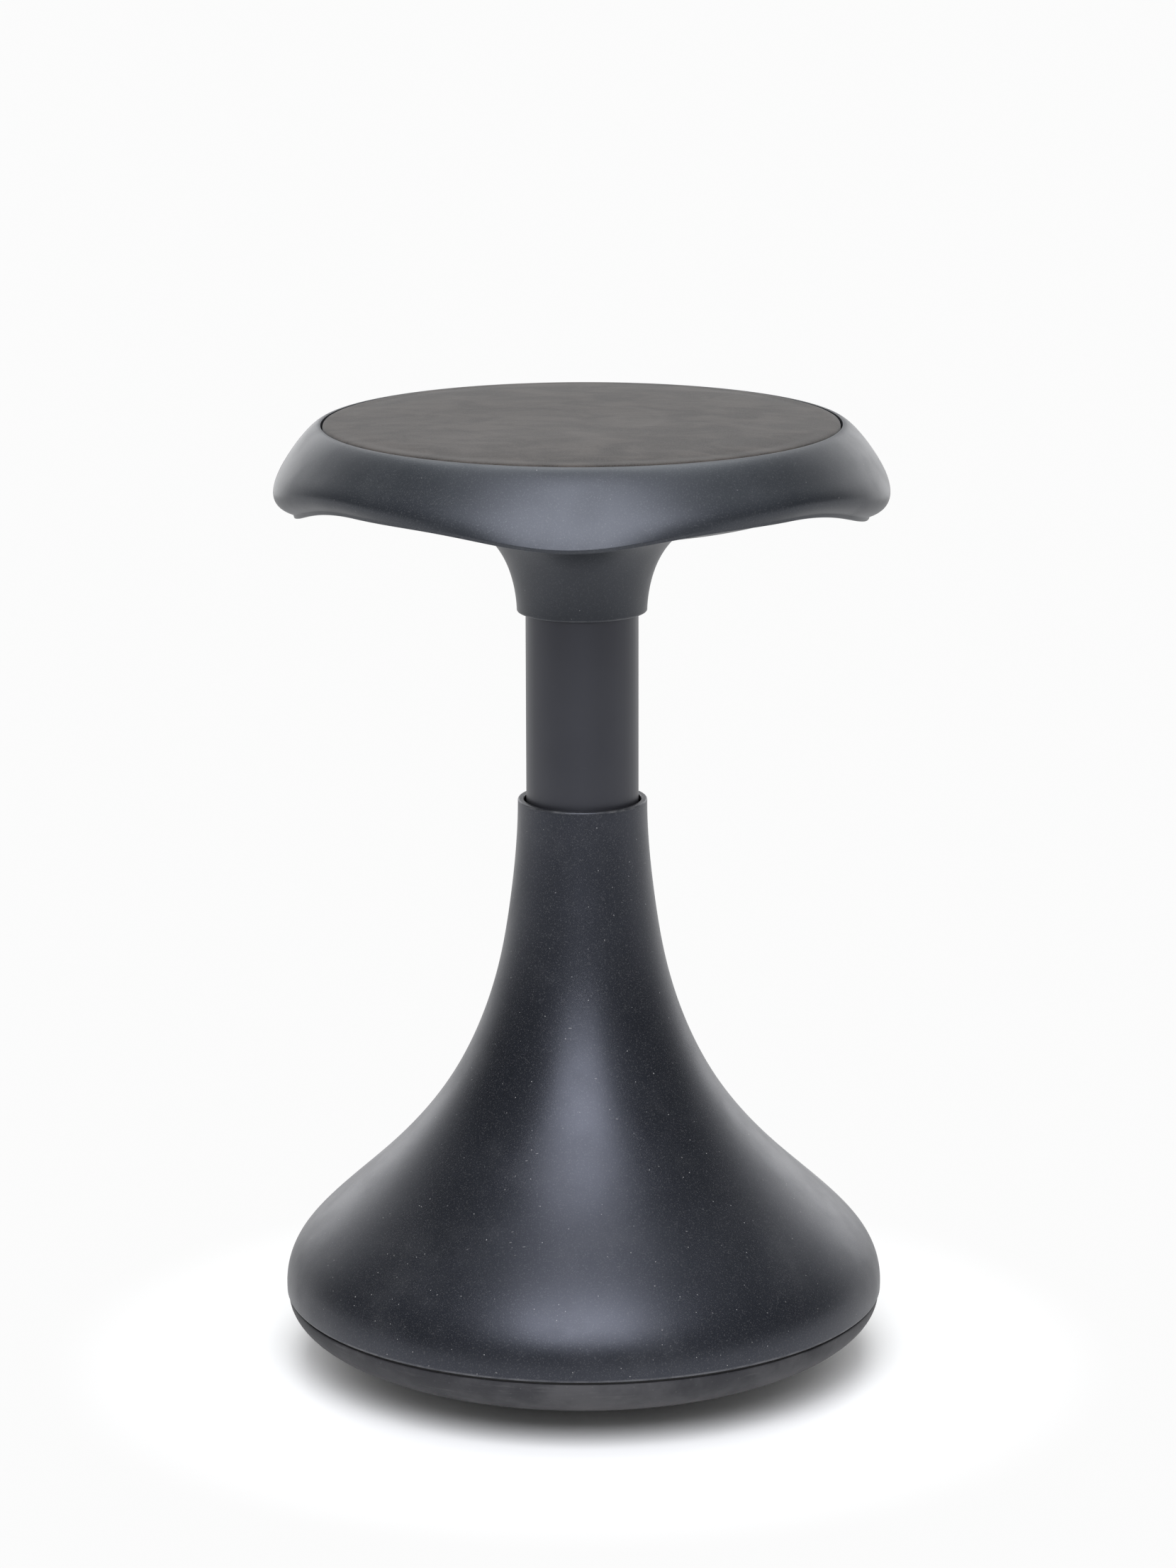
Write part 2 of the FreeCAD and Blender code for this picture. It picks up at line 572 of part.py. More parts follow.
rod = new_body("piston_rod")
rod_bottom = tube_bottom - S.rod_end_reach
rod_shoulder = tube_inside_floor + S.rod_end_play
revolve(rod, (0, rod_bottom), [
    [(S.rod_neck_radius, rod_bottom)], [(S.rod_neck_radius, rod_shoulder)],
    [(S.rod_radius, rod_shoulder)], [(S.rod_radius, S.rod_top)], [(0, S.rod_top)]])
pressure_bore = S.pressure_tube_radius - S.pressure_tube_wall
piston_top = S.rod_top - S.rod_past_piston
ring("piston", S.rod_radius, pressure_bore - S.running_gap, piston_top - S.piston_length, piston_top)
clip_top = tube_bottom - S.rod_end_play
ring("rod_clip", S.rod_neck_radius, S.clip_radius, clip_top - S.clip_thickness, clip_top)
buffer_top = S.pressure_tube_bottom - S.bump_stop_gap
buffer = new_body("bump_stop")
buffer_waist = (upper_race_top + buffer_top) / 2
revolve(buffer, (S.rod_radius, upper_race_top), [
    [(S.bump_stop_radius, upper_race_top)],
    [(S.bump_stop_radius, share(upper_race_top, buffer_top, 0.3)),
     (S.bump_stop_radius - S.bump_stop_waist, buffer_waist),
     (S.bump_stop_radius, share(upper_race_top, buffer_top, 0.7)), (S.bump_stop_radius, buffer_top)],
    [(S.rod_radius, buffer_top)]])

# Gas lift, rising part: inner tube, its gland and the release pin
pressure_tube = new_body("pressure_tube")
valve_bore = S.valve_radius + S.running_gap
cap_bottom = plate_top - S.pressure_tube_cap
revolve(pressure_tube, (pressure_bore, S.pressure_tube_bottom), [
    [(S.pressure_tube_radius, S.pressure_tube_bottom)], [(S.pressure_tube_radius, plate_top)],
    [(valve_bore, plate_top)], [(valve_bore, cap_bottom)], [(pressure_bore, cap_bottom)]])
ring("tube_gland", S.rod_radius + S.running_gap, pressure_bore, S.pressure_tube_bottom,
     S.pressure_tube_bottom + S.gland_length)
valve_top = plate_top + S.valve_height
valve = new_body("release_pin")
revolve(valve, (0, plate_top - S.valve_depth), [
    [(S.valve_radius, plate_top - S.valve_depth)], [(S.valve_radius, valve_top - S.valve_round)],
    [(S.valve_radius, valve_top - S.valve_round * 0.4), (S.valve_radius * 0.6, valve_top), (0, valve_top)]])

# Column, and the seat's underside with its trumpet
ring("column_sleeve", column_bore, S.column_radius, S.column_bottom, S.seat_plane - S.column_drop)

# Poles of the trumpet: shares of the way out to where the underside turns straight and of the way up
# to it. The inner ones have their distance from the outside, in walls, as well.
TRUMPET = [(0.0, 0.024), (0.006, 0.375), (0.271, 0.8566), (0.7117, 0.7447)]
TRUMPET_INNER = [(0.7822, 0.8046, -0.3, 0.95), (0.4216, 0.7842, 0.0, 1.0), (0.1307, 0.7026, -0.7, 0.7)]
pan = new_body("under_pan")
horn_bottom = S.seat_plane - S.horn_drop
horn_radius = S.column_radius + S.horn_wall
pan_radius = S.rim_lip_radius - S.pan_rim_gap
flange_start = (pan_radius - S.pan_flange_width, S.seat_plane - S.pan_flange_drop)


def trumpet_pole(out, up, across=0.0, along=0.0):
    return (share(horn_radius, flange_start[0], out) + S.pan_wall * across,
            share(horn_bottom, flange_start[1], up) + S.pan_wall * along)


pan_edge = flange_start[1] + S.pan_edge_rise
inner_start = (flange_start[0] - S.pan_wall / 3, flange_start[1] + S.pan_wall)
grip_top = horn_bottom + S.horn_grip
grip_ledge = horn_radius - S.pan_wall
revolve(pan, (S.column_radius, horn_bottom), [
    [(horn_radius, horn_bottom)], [trumpet_pole(*pole) for pole in TRUMPET] + [flange_start],
    [(pan_radius, pan_edge)], [(pan_radius, pan_edge + S.pan_wall)], [inner_start],
    [trumpet_pole(*pole) for pole in TRUMPET_INNER]
    + [(grip_ledge, grip_top + S.pan_wall), (grip_ledge, grip_top)],
    [(S.column_radius, grip_top)]])
doc.recompute()
pan_screw_circle = flange_start[0] - S.pan_screw_inset
pan_boss_top = S.seat_plane - S.pan_boss_drop
pan_head_seat = pan_boss_top - S.pan_head_cover
round_spots(pan, "Pad", 4, pan_screw_circle, S.pan_boss_radius,
            pan_boss_top - S.pan_boss_length, pan_boss_top)
round_spots(pan, "Pocket", 4, pan_screw_circle, S.pan_head_radius + 3 * S.screw_clearance,
            pan_head_seat - S.pan_head_access, pan_head_seat)
round_spots(pan, "Pocket", 4, pan_screw_circle, S.pan_screw_radius + 2 * S.screw_clearance,
            pan_head_seat, pan_boss_top)
slot = new_sketch(pan, "XY_Plane", horn_bottom)
slot.AttachmentOffset = FreeCAD.Placement(V(0, 0, 0), FreeCAD.Rotation(V(0, 0, 1), S.lever_azimuth.value))
slot.setExpression("AttachmentOffset.Base.z", horn_bottom.formula)
slot.setExpression("AttachmentOffset.Rotation.Angle", S.lever_azimuth.formula)
slot_inner = S.lever_bend_reach + S.pan_slot_start
draw_box(slot, slot_inner, slot_inner + S.pan_slot_length, S.pan_slot_width / -2, S.pan_slot_width / 2)
extrude(pan, slot, "Pocket", plate_bottom - horn_bottom)
screws("pan_screws", 4, pan_screw_circle, [
    (S.pan_head_radius, pan_head_seat - S.pan_head_height, pan_head_seat),
    (S.pan_screw_radius, pan_head_seat, pan_boss_top + S.pan_screw_reach)])

# Seat shell: a skirt whose lower edge rises in four arches, round a recessed floor
RIM_SECTIONS = 48


def rim_depth(turn):
    """Depth of the skirt at an angle from the front: four lobes, the side ones the deepest."""
    side = S.rim_depth_side.value
    front = S.rim_depth_front.value
    lobes = side - (side - front) * (1 + math.cos(2 * turn)) / 2
    arches = (side + front) / 2 - S.rim_depth_arch.value
    return lobes - arches * (1 - math.cos(4 * turn)) / 2


def rim_section(turn):
    """Closed outline of the skirt in the upright plane at an angle from the front."""
    depth = rim_depth(turn)
    recess = S.pad_radius.value + S.pad_gap.value
    wall = S.shell_wall.value
    bulge = S.rim_bulge_radius.value
    lip = S.rim_lip_radius.value
    floor = S.seat_plane.value - shell_floor_bottom.value
    side = S.rim_depth_side.value
    bulge_depth = side * 0.8536 - (side - depth) * 0.85
    lip_width = S.rim_lip_width.value
    brow = (bulge - S.rim_brow_inset.value, side * 0.368)
    outside = [(recess, wall * 0.1), (recess + S.rim_edge_round.value, wall * -0.23), brow,
               (bulge, bulge_depth), (lip + lip_width, depth), (lip, depth)]
    inside = [(lip, depth - wall), (lip + lip_width * 0.82, depth - wall),
              (bulge - wall * 1.15, bulge_depth - wall * 0.5), (brow[0] - wall * 1.1, brow[1] - wall * 0.2),
              (lip - S.skirt_root_inset.value, floor)]

    def place(radius, down):
        return V(radius * math.sin(turn), -radius * math.cos(turn), S.seat_plane.value - down)

    def curve(poles):
        spline = Part.BSplineCurve()
        spline.buildFromPoles([place(*pole) for pole in poles], False, 3)
        return spline.toShape()

    def line(first, second):
        return Part.LineSegment(place(*first), place(*second)).toShape()

    return Part.Wire([curve(outside), line(outside[-1], inside[0]), curve(inside),
                      line(inside[-1], (recess, floor)), line((recess, floor), outside[0])])


skirt = doc.addObject("Part::Feature", "skirt")
skirt.Shape = Part.makeLoft([rim_section(2 * math.pi * k / RIM_SECTIONS) for k in range(RIM_SECTIONS)],
                            True, False, True)
floor_body = doc.addObject("PartDesign::Body", "shell_floor")
floor_body.Label = "shell_floor"
recess_radius = S.pad_radius + S.pad_gap
floor_radius = recess_radius + S.floor_overlap
revolve(floor_body, (0, shell_floor_bottom), [
    [(floor_radius, shell_floor_bottom)], [(floor_radius, shell_floor_top)], [(0, shell_floor_top)]])
doc.recompute()
round_spots(floor_body, "Pad", 4, S.plate_bolt_circle, S.plate_boss_radius, plate_top, shell_floor_bottom)
round_spots(floor_body, "Pocket", 4, S.plate_bolt_circle, S.plate_bolt_radius + S.screw_clearance,
            plate_top, plate_top + S.plate_bolt_reach + S.screw_tip_gap)
round_spots(floor_body, "Pad", 4, pan_screw_circle, S.pan_boss_radius, pan_boss_top, shell_floor_bottom)
round_spots(floor_body, "Pocket", 4, pan_screw_circle, S.pan_screw_radius + S.screw_clearance,
            pan_boss_top, pan_boss_top + S.pan_screw_reach + S.screw_tip_gap)
shell = doc.addObject("Part::Fuse", "seat_shell")
shell.Label = "seat_shell"
shell.Base = skirt
shell.Tool = floor_body
nodes["seat_shell"] = shell

# Pad: a carrier board and a thin crowned cushion in the shell's recess
board_top = shell_floor_top + S.pad_board_thickness
ring("pad_board", size(0), S.pad_radius - S.pad_board_inset, shell_floor_top, board_top)
pad_top = S.seat_plane + S.pad_crown
pad_side_top = S.seat_plane - S.pad_edge_drop
pad = new_body("seat_pad")
revolve(pad, (0, board_top), [
    [(S.pad_radius, board_top)], [(S.pad_radius, pad_side_top)],
    [(S.pad_radius, S.seat_plane + S.pad_roll_height),
     (S.pad_radius - S.pad_roll_width, share(S.seat_plane, pad_top, 0.6)),
     (S.pad_radius * 0.4, pad_top), (0, pad_top)]])

# Seat plate, socket and bolts
plate = new_body("mounting_plate")
half = S.plate_half_width
short = half - S.plate_corner
plate_sketch = new_sketch(plate, "XY_Plane", plate_bottom)
draw_outline(plate_sketch, (-half, -short), [
    [(-short, -half)], [(short, -half)], [(half, -short)], [(half, short)],
    [(short, half)], [(-short, half)], [(-half, short)]])
extrude(plate, plate_sketch, "Pad", S.plate_thickness)
socket_radius = S.pressure_tube_radius + S.socket_wall
round_spots(plate, "Pocket", 1, size(0), socket_radius, plate_bottom, plate_top)
round_spots(plate, "Pocket", 4, S.plate_bolt_circle, S.plate_bolt_radius + 2 * S.screw_clearance,
            plate_bottom, plate_top)
ring("taper_socket", S.pressure_tube_radius, socket_radius, plate_bottom - S.socket_drop, plate_top)
screws("plate_bolts", 4, S.plate_bolt_circle, [
    (S.plate_bolt_head_radius, plate_bottom - S.plate_bolt_head_height, plate_bottom),
    (S.plate_bolt_radius, plate_bottom, plate_top + S.plate_bolt_reach)])


def towards_lever(body):
    """Turn a body that is drawn along +X to the lever's azimuth."""
    body.Placement = FreeCAD.Placement(V(0, 0, 0), FreeCAD.Rotation(V(0, 0, 1), S.lever_azimuth.value))
    body.setExpression("Placement.Rotation.Angle", S.lever_azimuth.formula)


def bore_across(body, x, z, radius, width):
    before = body.Shape.Volume
    sketch = new_sketch(body, "XZ_Plane")
    draw_circle(sketch, x, z, radius)
    extrude(body, sketch, "Pocket", width, both_ways=True)
    if body.Shape.Volume >= before:
        raise RuntimeError(body.Label + ": a bore cut nothing")


# Release lever: a cranked strip on a pin, its tip over the release pin, its grip under the rim
pivot_z = plate_top + S.lever_pivot_height
pivot_x = S.lever_pivot_reach
tip_low = valve_top + S.valve_lever_gap
tip_high = tip_low + S.lever_thickness
strip_high = pivot_z + S.lever_thickness / 2
strip_low = pivot_z - S.lever_thickness / 2
run_low = pivot_z - S.lever_drop
run_high = run_low + S.lever_thickness
hub_size = S.lever_hub_radius
hub_slope = S.lever_hub_slope
bend_end = S.lever_bend_reach + S.lever_bend_run
lever = new_body("release_lever")
lever_sketch = new_sketch(lever, "XZ_Plane")
draw_outline(lever_sketch, (-S.lever_tip_overlap, tip_low), [
    [(pivot_x - hub_size - hub_slope, tip_low)], [(pivot_x - hub_size, pivot_z)],
    [(pivot_x - hub_size, pivot_z - hub_size)], [(pivot_x + hub_size, pivot_z - hub_size)],
    [(pivot_x + hub_size + hub_slope, strip_low)], [(S.lever_bend_reach, strip_low)], [(bend_end, run_low)],
    [(S.lever_reach, run_low)], [(S.lever_reach, run_high)], [(bend_end + S.lever_bend_ease, run_high)],
    [(S.lever_bend_reach + S.lever_bend_ease, strip_high)], [(pivot_x + hub_size + hub_slope, strip_high)],
    [(pivot_x + hub_size, pivot_z + hub_size)], [(pivot_x - hub_slope, tip_high)],
    [(-S.lever_tip_overlap, tip_high)]])
extrude(lever, lever_sketch, "Pad", S.lever_width, both_ways=True)
bore_across(lever, pivot_x, pivot_z, S.pivot_pin_radius + S.running_gap, S.lever_width * 2)
towards_lever(lever)

bracket = new_body("lever_bracket")
cheek_inside = S.lever_width / 2 + S.cheek_gap
cheek_outside = cheek_inside + S.cheek_thickness
bracket_sketch = new_sketch(bracket, "YZ_Plane", pivot_x - S.cheek_length / 2)
cheek_high = pivot_z + S.lever_hub_radius
bridge_high = plate_top + S.bridge_thickness
draw_outline(bracket_sketch, (-cheek_outside, plate_top), [
    [(cheek_outside, plate_top)], [(cheek_outside, cheek_high)], [(cheek_inside, cheek_high)],
    [(cheek_inside, bridge_high)], [(-cheek_inside, bridge_high)], [(-cheek_inside, cheek_high)],
    [(-cheek_outside, cheek_high)]])
extrude(bracket, bracket_sketch, "Pad", S.cheek_length)
bore_across(bracket, pivot_x, pivot_z, S.pivot_pin_radius, cheek_outside * 4)
towards_lever(bracket)

pin = new_body("lever_pin")
pin_sketch = new_sketch(pin, "XZ_Plane")
draw_circle(pin_sketch, pivot_x, pivot_z, S.pivot_pin_radius)
extrude(pin, pin_sketch, "Pad", (cheek_outside + S.pin_overhang) * 2, both_ways=True)
towards_lever(pin)

grip = new_body("lever_grip")
grip_middle = run_low + S.lever_thickness / 2
grip_sketch = new_sketch(grip, "XY_Plane", grip_middle - S.grip_height / 2)
grip_end = S.lever_reach + S.grip_overhang
draw_box(grip_sketch, grip_end - S.grip_length, grip_end, S.grip_width / -2, S.grip_width / 2)
extrude(grip, grip_sketch, "Pad", S.grip_height)
soften(grip, S.grip_round, lambda edge: True)
grip_slot = new_sketch(grip, "XY_Plane", run_low)
draw_box(grip_slot, grip_end - S.grip_length - S.root_overlap, S.lever_reach,
         S.lever_width / -2, S.lever_width / 2)
extrude(grip, grip_slot, "Pocket", S.lever_thickness)
towards_lever(grip)

doc.recompute()

for item in doc.Objects:
    if "Invalid" in item.State or "Error" in item.State:
        raise RuntimeError("%s is not computed: %s" % (item.Name, item.State))
for name, item in nodes.items():
    if item.Shape.isNull() or not item.Shape.isValid():
        raise RuntimeError(name + " has no valid shape")

os.makedirs("parts", exist_ok=True)
for name, item in nodes.items():
    item.Shape.exportStep("parts/%s.step" % name)
    box = item.Shape.BoundBox
    print("%-20s %d solid(s) %9.1f cm3  z %.1f to %.1f" % (
        name, len(item.Shape.Solids), item.Shape.Volume / 1000, box.ZMin, box.ZMax))
print("%d pieces" % len(nodes))
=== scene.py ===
import bmesh
import bpy
import json
import math
import numpy as np
from mathutils import Matrix, Vector

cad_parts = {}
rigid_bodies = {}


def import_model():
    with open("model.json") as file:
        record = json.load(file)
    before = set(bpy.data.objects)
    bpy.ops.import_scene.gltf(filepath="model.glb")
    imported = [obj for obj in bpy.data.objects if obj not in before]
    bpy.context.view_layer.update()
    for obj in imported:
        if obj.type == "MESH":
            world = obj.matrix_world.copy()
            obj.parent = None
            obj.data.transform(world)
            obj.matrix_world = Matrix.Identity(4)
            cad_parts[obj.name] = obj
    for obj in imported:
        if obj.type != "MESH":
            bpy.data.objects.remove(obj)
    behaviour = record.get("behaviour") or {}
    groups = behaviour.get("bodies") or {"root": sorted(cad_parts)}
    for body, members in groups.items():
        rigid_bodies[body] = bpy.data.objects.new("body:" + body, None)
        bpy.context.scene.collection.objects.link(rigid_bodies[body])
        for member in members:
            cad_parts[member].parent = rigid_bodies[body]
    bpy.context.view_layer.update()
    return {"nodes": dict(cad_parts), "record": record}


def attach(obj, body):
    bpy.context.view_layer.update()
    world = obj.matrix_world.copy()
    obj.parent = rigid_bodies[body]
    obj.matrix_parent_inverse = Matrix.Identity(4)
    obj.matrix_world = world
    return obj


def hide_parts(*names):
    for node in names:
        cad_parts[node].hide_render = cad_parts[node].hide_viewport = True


# Wobble stool in metres: rubber rocker, flared bell, telescoping column, round seat with a scalloped skirt.
# The stool faces -Y and stands on z = 0 with its axis on x = y = 0.

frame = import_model()
nodes = frame["nodes"]
print("frame loaded:", len(nodes), "nodes")


# Outlines are arrays of (radius, height)

def bSpline(poles, count):
    # clamped cubic B-spline: the poles weighted by the Cox-de Boor basis, for one set of poles or many
    poles = np.asarray(poles, float)
    knots = np.concatenate([np.zeros(3), np.linspace(0, 1, poles.shape[-2] - 2), np.ones(3)])
    t = np.linspace(0, 1, count)[:, None]
    weight = ((knots[:-1] <= t) & (t < knots[1:])).astype(float)
    weight[-1, poles.shape[-2] - 1] = 1  # the end belongs to the last span
    for d in (1, 2, 3):
        n = len(knots) - 1 - d
        rise = knots[d:d + n] - knots[:n]
        fall = knots[d + 1:d + 1 + n] - knots[1:1 + n]
        weight = ((t - knots[:n]) / np.where(rise > 0, rise, 1) * weight[:, :n]
                  + (knots[d + 1:d + 1 + n] - t) / np.where(fall > 0, fall, 1) * weight[:, 1:1 + n])
    return weight @ poles


def arc(x, y, radius, start, end, count=7):
    a = np.radians(np.linspace(start, end, count))
    return np.stack([x + radius * np.cos(a), y + radius * np.sin(a)], -1)


def straight(start, end, count=2):
    return np.linspace(start, end, count)


def chain(*stretches):
    # one outline out of stretches, without the points that two of them share
    path = np.concatenate([np.asarray(s, float).reshape(-1, 2) for s in stretches])
    keep = np.linalg.norm(path - np.roll(path, 1, axis=0), axis=1) > 1e-7
    keep[0] = True
    return path[keep]


def lathe(outline, turns):
    # point (i, j) is outline point i turned by angle j about the axis, angle 0 at the front
    a = np.linspace(0, 2 * np.pi, turns, endpoint=False)
    r, z = outline[:, :1], outline[:, 1:]
    return np.stack([r * np.sin(a), -r * np.cos(a), z + 0 * a], -1)


def share(low, high, part):
    return low + (high - low) * part


def skin(name, grid, loop, sharpAngle=40):
    # quads between neighbours of grid[i, j]; j closes on itself, i too if the outline is a loop;
    # a row on the axis becomes one point and its quads triangles
    rows, columns = grid.shape[:2]
    index = np.arange(rows * columns).reshape(rows, columns)
    onAxis = np.ptp(grid, axis=1).max(axis=1) < 1e-7
    index[onAxis] = index[onAxis, :1]
    near = index if loop else index[:-1]
    far = np.roll(index, -1, axis=0) if loop else index[1:]
    quads = np.stack([near, np.roll(near, -1, 1), np.roll(far, -1, 1), far], -1).reshape(-1, 4)
    lowTip = quads[:, 0] == quads[:, 1]
    highTip = quads[:, 2] == quads[:, 3]
    faces = quads[~lowTip & ~highTip].tolist()
    faces += quads[lowTip][:, 1:].tolist() + quads[highTip][:, :3].tolist()
    mesh = bpy.data.meshes.new(name)
    mesh.from_pydata(grid.reshape(-1, 3).tolist(), [], faces)
    tidyMesh(mesh, sharpAngle)
    return mesh


def tidyMesh(mesh, sharpAngle=40):
    # loose points dropped, faces outwards, smooth but for real edges
    work = bmesh.new()
    work.from_mesh(mesh)
    bmesh.ops.delete(work, geom=[v for v in work.verts if not v.link_faces], context="VERTS")
    bmesh.ops.recalc_face_normals(work, faces=work.faces)
    work.to_mesh(mesh)
    work.free()
    mesh.shade_smooth()
    mesh.set_sharp_from_angle(angle=math.radians(sharpAngle))


def addPiece(mesh, finish, body, replaced):
    piece = bpy.data.objects.new(mesh.name, mesh)
    bpy.context.scene.collection.objects.link(piece)
    mesh.materials.clear()
    mesh.materials.append(finish)
    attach(piece, body)
    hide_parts(*replaced)
    return piece


# Materials

class Signal:  # an output socket; an expression on it adds Math nodes
    def __init__(self, paint, socket):
        self.paint, self.socket = paint, socket

    def __add__(self, other):
        return self.paint.math("ADD", self, other)

    def __sub__(self, other):
        return self.paint.math("SUBTRACT", self, other)

    def __rsub__(self, other):
        return self.paint.math("SUBTRACT", other, self)

    def __mul__(self, other):
        return self.paint.math("MULTIPLY", self, other)

    __radd__ = __add__
    __rmul__ = __mul__


class Paint:  # a node tree built from expressions
    def __init__(self, tree, coordinates="Object"):
        self.tree = tree
        tree.nodes.clear()
        self.place = self.node("ShaderNodeTexCoord", output=coordinates)

    def node(self, kind, settings=None, inputs=None, output=0):
        # any node: its settings first, then values or links for its sockets
        made = self.tree.nodes.new(kind)
        for name, value in (settings or {}).items():
            setattr(made, name, value)
        for name, value in (inputs or {}).items():
            if isinstance(value, Signal):
                self.tree.links.new(value.socket, made.inputs[name])
            else:
                made.inputs[name].default_value = value
        return Signal(self, made.outputs[output])

    def math(self, operation, *values):
        return self.node("ShaderNodeMath", {"operation": operation}, dict(enumerate(values)))

    def noise(self, scale, detail=2.0, roughness=0.5, place=None, distortion=0.0):
        return self.node("ShaderNodeTexNoise", {}, {
            "Vector": place or self.place, "Scale": scale, "Detail": detail, "Roughness": roughness,
            "Distortion": distortion}, "Fac")

    def ease(self, value, low, high, start=0.0, end=1.0):
        # smooth step from start to end while value goes from low to high
        return self.node("ShaderNodeMapRange", {"interpolation_type": "SMOOTHSTEP"}, {
            "Value": value, "From Min": low, "From Max": high, "To Min": start, "To Max": end})

    def blend(self, amount, first, second):
        # colours by way of a Mix node
        first, second = [(*c, 1) if isinstance(c, tuple) else c for c in (first, second)]
        return self.node("ShaderNodeMix", {"data_type": "RGBA"}, {0: amount, 6: first, 7: second}, 2)

    def stretched(self, scale, turn=(0, 0, 0)):
        return self.node("ShaderNodeMapping", {}, {"Vector": self.place, "Scale": scale, "Rotation": turn})

    def height(self):
        return self.node("ShaderNodeSeparateXYZ", {}, {0: self.place}, "Z")

    def radius(self):
        # distance from the stool's axis
        flat = self.node("ShaderNodeVectorMath", {"operation": "MULTIPLY"}, {0: self.place, 1: (1, 1, 0)})
        return self.node("ShaderNodeVectorMath", {"operation": "LENGTH"}, {0: flat}, "Value")

    def specks(self, scale, size, amount, place=None):
        # round dots at random spots: a Voronoi cell has one if its random value is under the amount
        spots = {"Vector": place or self.place, "Scale": scale}
        cell = self.node("ShaderNodeTexVoronoi", {}, spots, "Distance")
        pick = self.node("ShaderNodeTexVoronoi", {}, spots, "Color")
        chance = self.node("ShaderNodeSeparateColor", {}, {0: pick}, 0)
        picked = self.ease(chance, amount, amount + 0.02, 1.0, 0.0)
        return self.ease(cell, size * 0.5, size, 1.0, 0.0) * picked

    def bump(self, height, distance, strength):
        return self.node("ShaderNodeBump", {}, {"Height": height, "Distance": distance, "Strength": strength})

    def surface(self, **sockets):
        # Principled shader straight into the output
        renamed = {name[0].upper() + name[1:].replace("_", " "): value for name, value in sockets.items()}
        shader = self.node("ShaderNodeBsdfPrincipled", {}, {
            name: (*value, 1) if isinstance(value, tuple) and len(value) == 3 else value
            for name, value in renamed.items()})
        self.out(shader)

    def out(self, shader, kind="ShaderNodeOutputMaterial"):
        end = self.tree.nodes.new(kind)
        self.tree.links.new(shader.socket, end.inputs["Surface"])


def newPaint(name):
    material = bpy.data.materials.new(name)
    material.use_nodes = True
    return material, Paint(material.node_tree)


def mouldedPlastic(name, look):
    # charcoal plastic from a spark-eroded mould: clouded tone, fine grain, rubbed patches, pale dust and
    # lint, and a
    # painted highlight: a pale line painted into the colour at the heights of its edges, broken up by noise
    material, p = newPaint(name)
    cloud = p.noise(look["cloudScale"], 3.0)
    tone = p.blend(p.ease(cloud, 0.35, 0.65), look["dark"], look["light"])
    dust = p.specks(90, 0.045, look["dust"]) + p.specks(210, 0.085, look["dust"])
    lint = p.specks(1, 0.085, look["lint"], p.stretched((55, 330, 240), turn=(0.4, 0.9, 0.3)))
    film = p.ease(p.noise(14, 5.0, 0.65), 0.5, 0.78) * look["film"]
    # noise that breaks the painted edge highlight up along its length
    worn = p.ease(p.noise(45, 4.0, 0.7), 0.40, 0.60, 0.25, 1.0)
    # painted highlight: a pale band in the base colour at each edge height stands in for light caught by the
    # rounded edge
    edges = 0.0
    for level in look["edges"]:
        edges = p.ease(p.math("ABSOLUTE", p.height() - level), 0.0002, 0.0010, 0.22, 0.0) * worn + edges
    # real dust, lint and film together with the painted edge highlight, all mixed towards the same pale
    # colour
    dirtAndPaintedHighlight = p.math("MINIMUM", dust * 0.8 + lint * 0.55 + film + edges, 1.0)
    grain = p.noise(1150, 2.0, 0.6)
    tone = p.blend(p.ease(grain, 0.52, 0.72) * 0.10, tone, look["dustAndHighlightColour"])
    wave = p.noise(9, 1.0)
    rub = p.ease(p.noise(26, 4.0, 0.6), 0.42, 0.7)
    p.surface(
        base_Color=p.blend(dirtAndPaintedHighlight, tone, look["dustAndHighlightColour"]),
        roughness=look["roughness"] + rub * look["rub"] + dirtAndPaintedHighlight * 0.25,
        specular_IOR_Level=look["gloss"],
        specular_Tint=look["tint"],
        normal=p.bump(grain * 0.00007 + wave * 0.0006, 1.0, look["grain"]))
    return material


print("materials started")

# the list of heights in each look places the pale painted highlight lines (the horn's foot on the shell, the
# seam and the mouth on the bell), and the pale dust colour also colours those painted highlights
shellLook = dict(dark=(0.0092, 0.0108, 0.0132), light=(0.0125, 0.0145, 0.0172), dustAndHighlightColour=(0.20, 0.20, 0.20),
                 cloudScale=7, dust=0.08, lint=0.02, film=0.05, roughness=0.42, rub=0.05, gloss=0.64,
                 tint=(0.85, 0.885, 1.0), grain=0.55, edges=[0.4706])
bellLook = dict(dark=(0.0062, 0.0072, 0.0098), light=(0.0088, 0.0100, 0.0132), dustAndHighlightColour=(0.27, 0.265, 0.26),
                cloudScale=6, dust=0.34, lint=0.16, film=0.04, roughness=0.38, rub=0.05, gloss=0.66,
                tint=(0.81, 0.845, 1.0), grain=0.55, edges=[0.0467, 0.3537])
bellPlastic = mouldedPlastic("bellPlastic", bellLook)
shellPlastic = mouldedPlastic("shellPlastic", shellLook)

columnLook = dict(dark=(0.0195, 0.0200, 0.0232), light=(0.0235, 0.0240, 0.0275), roughness=0.40, gloss=0.6,
                  tint=(0.85, 0.87, 1.0))


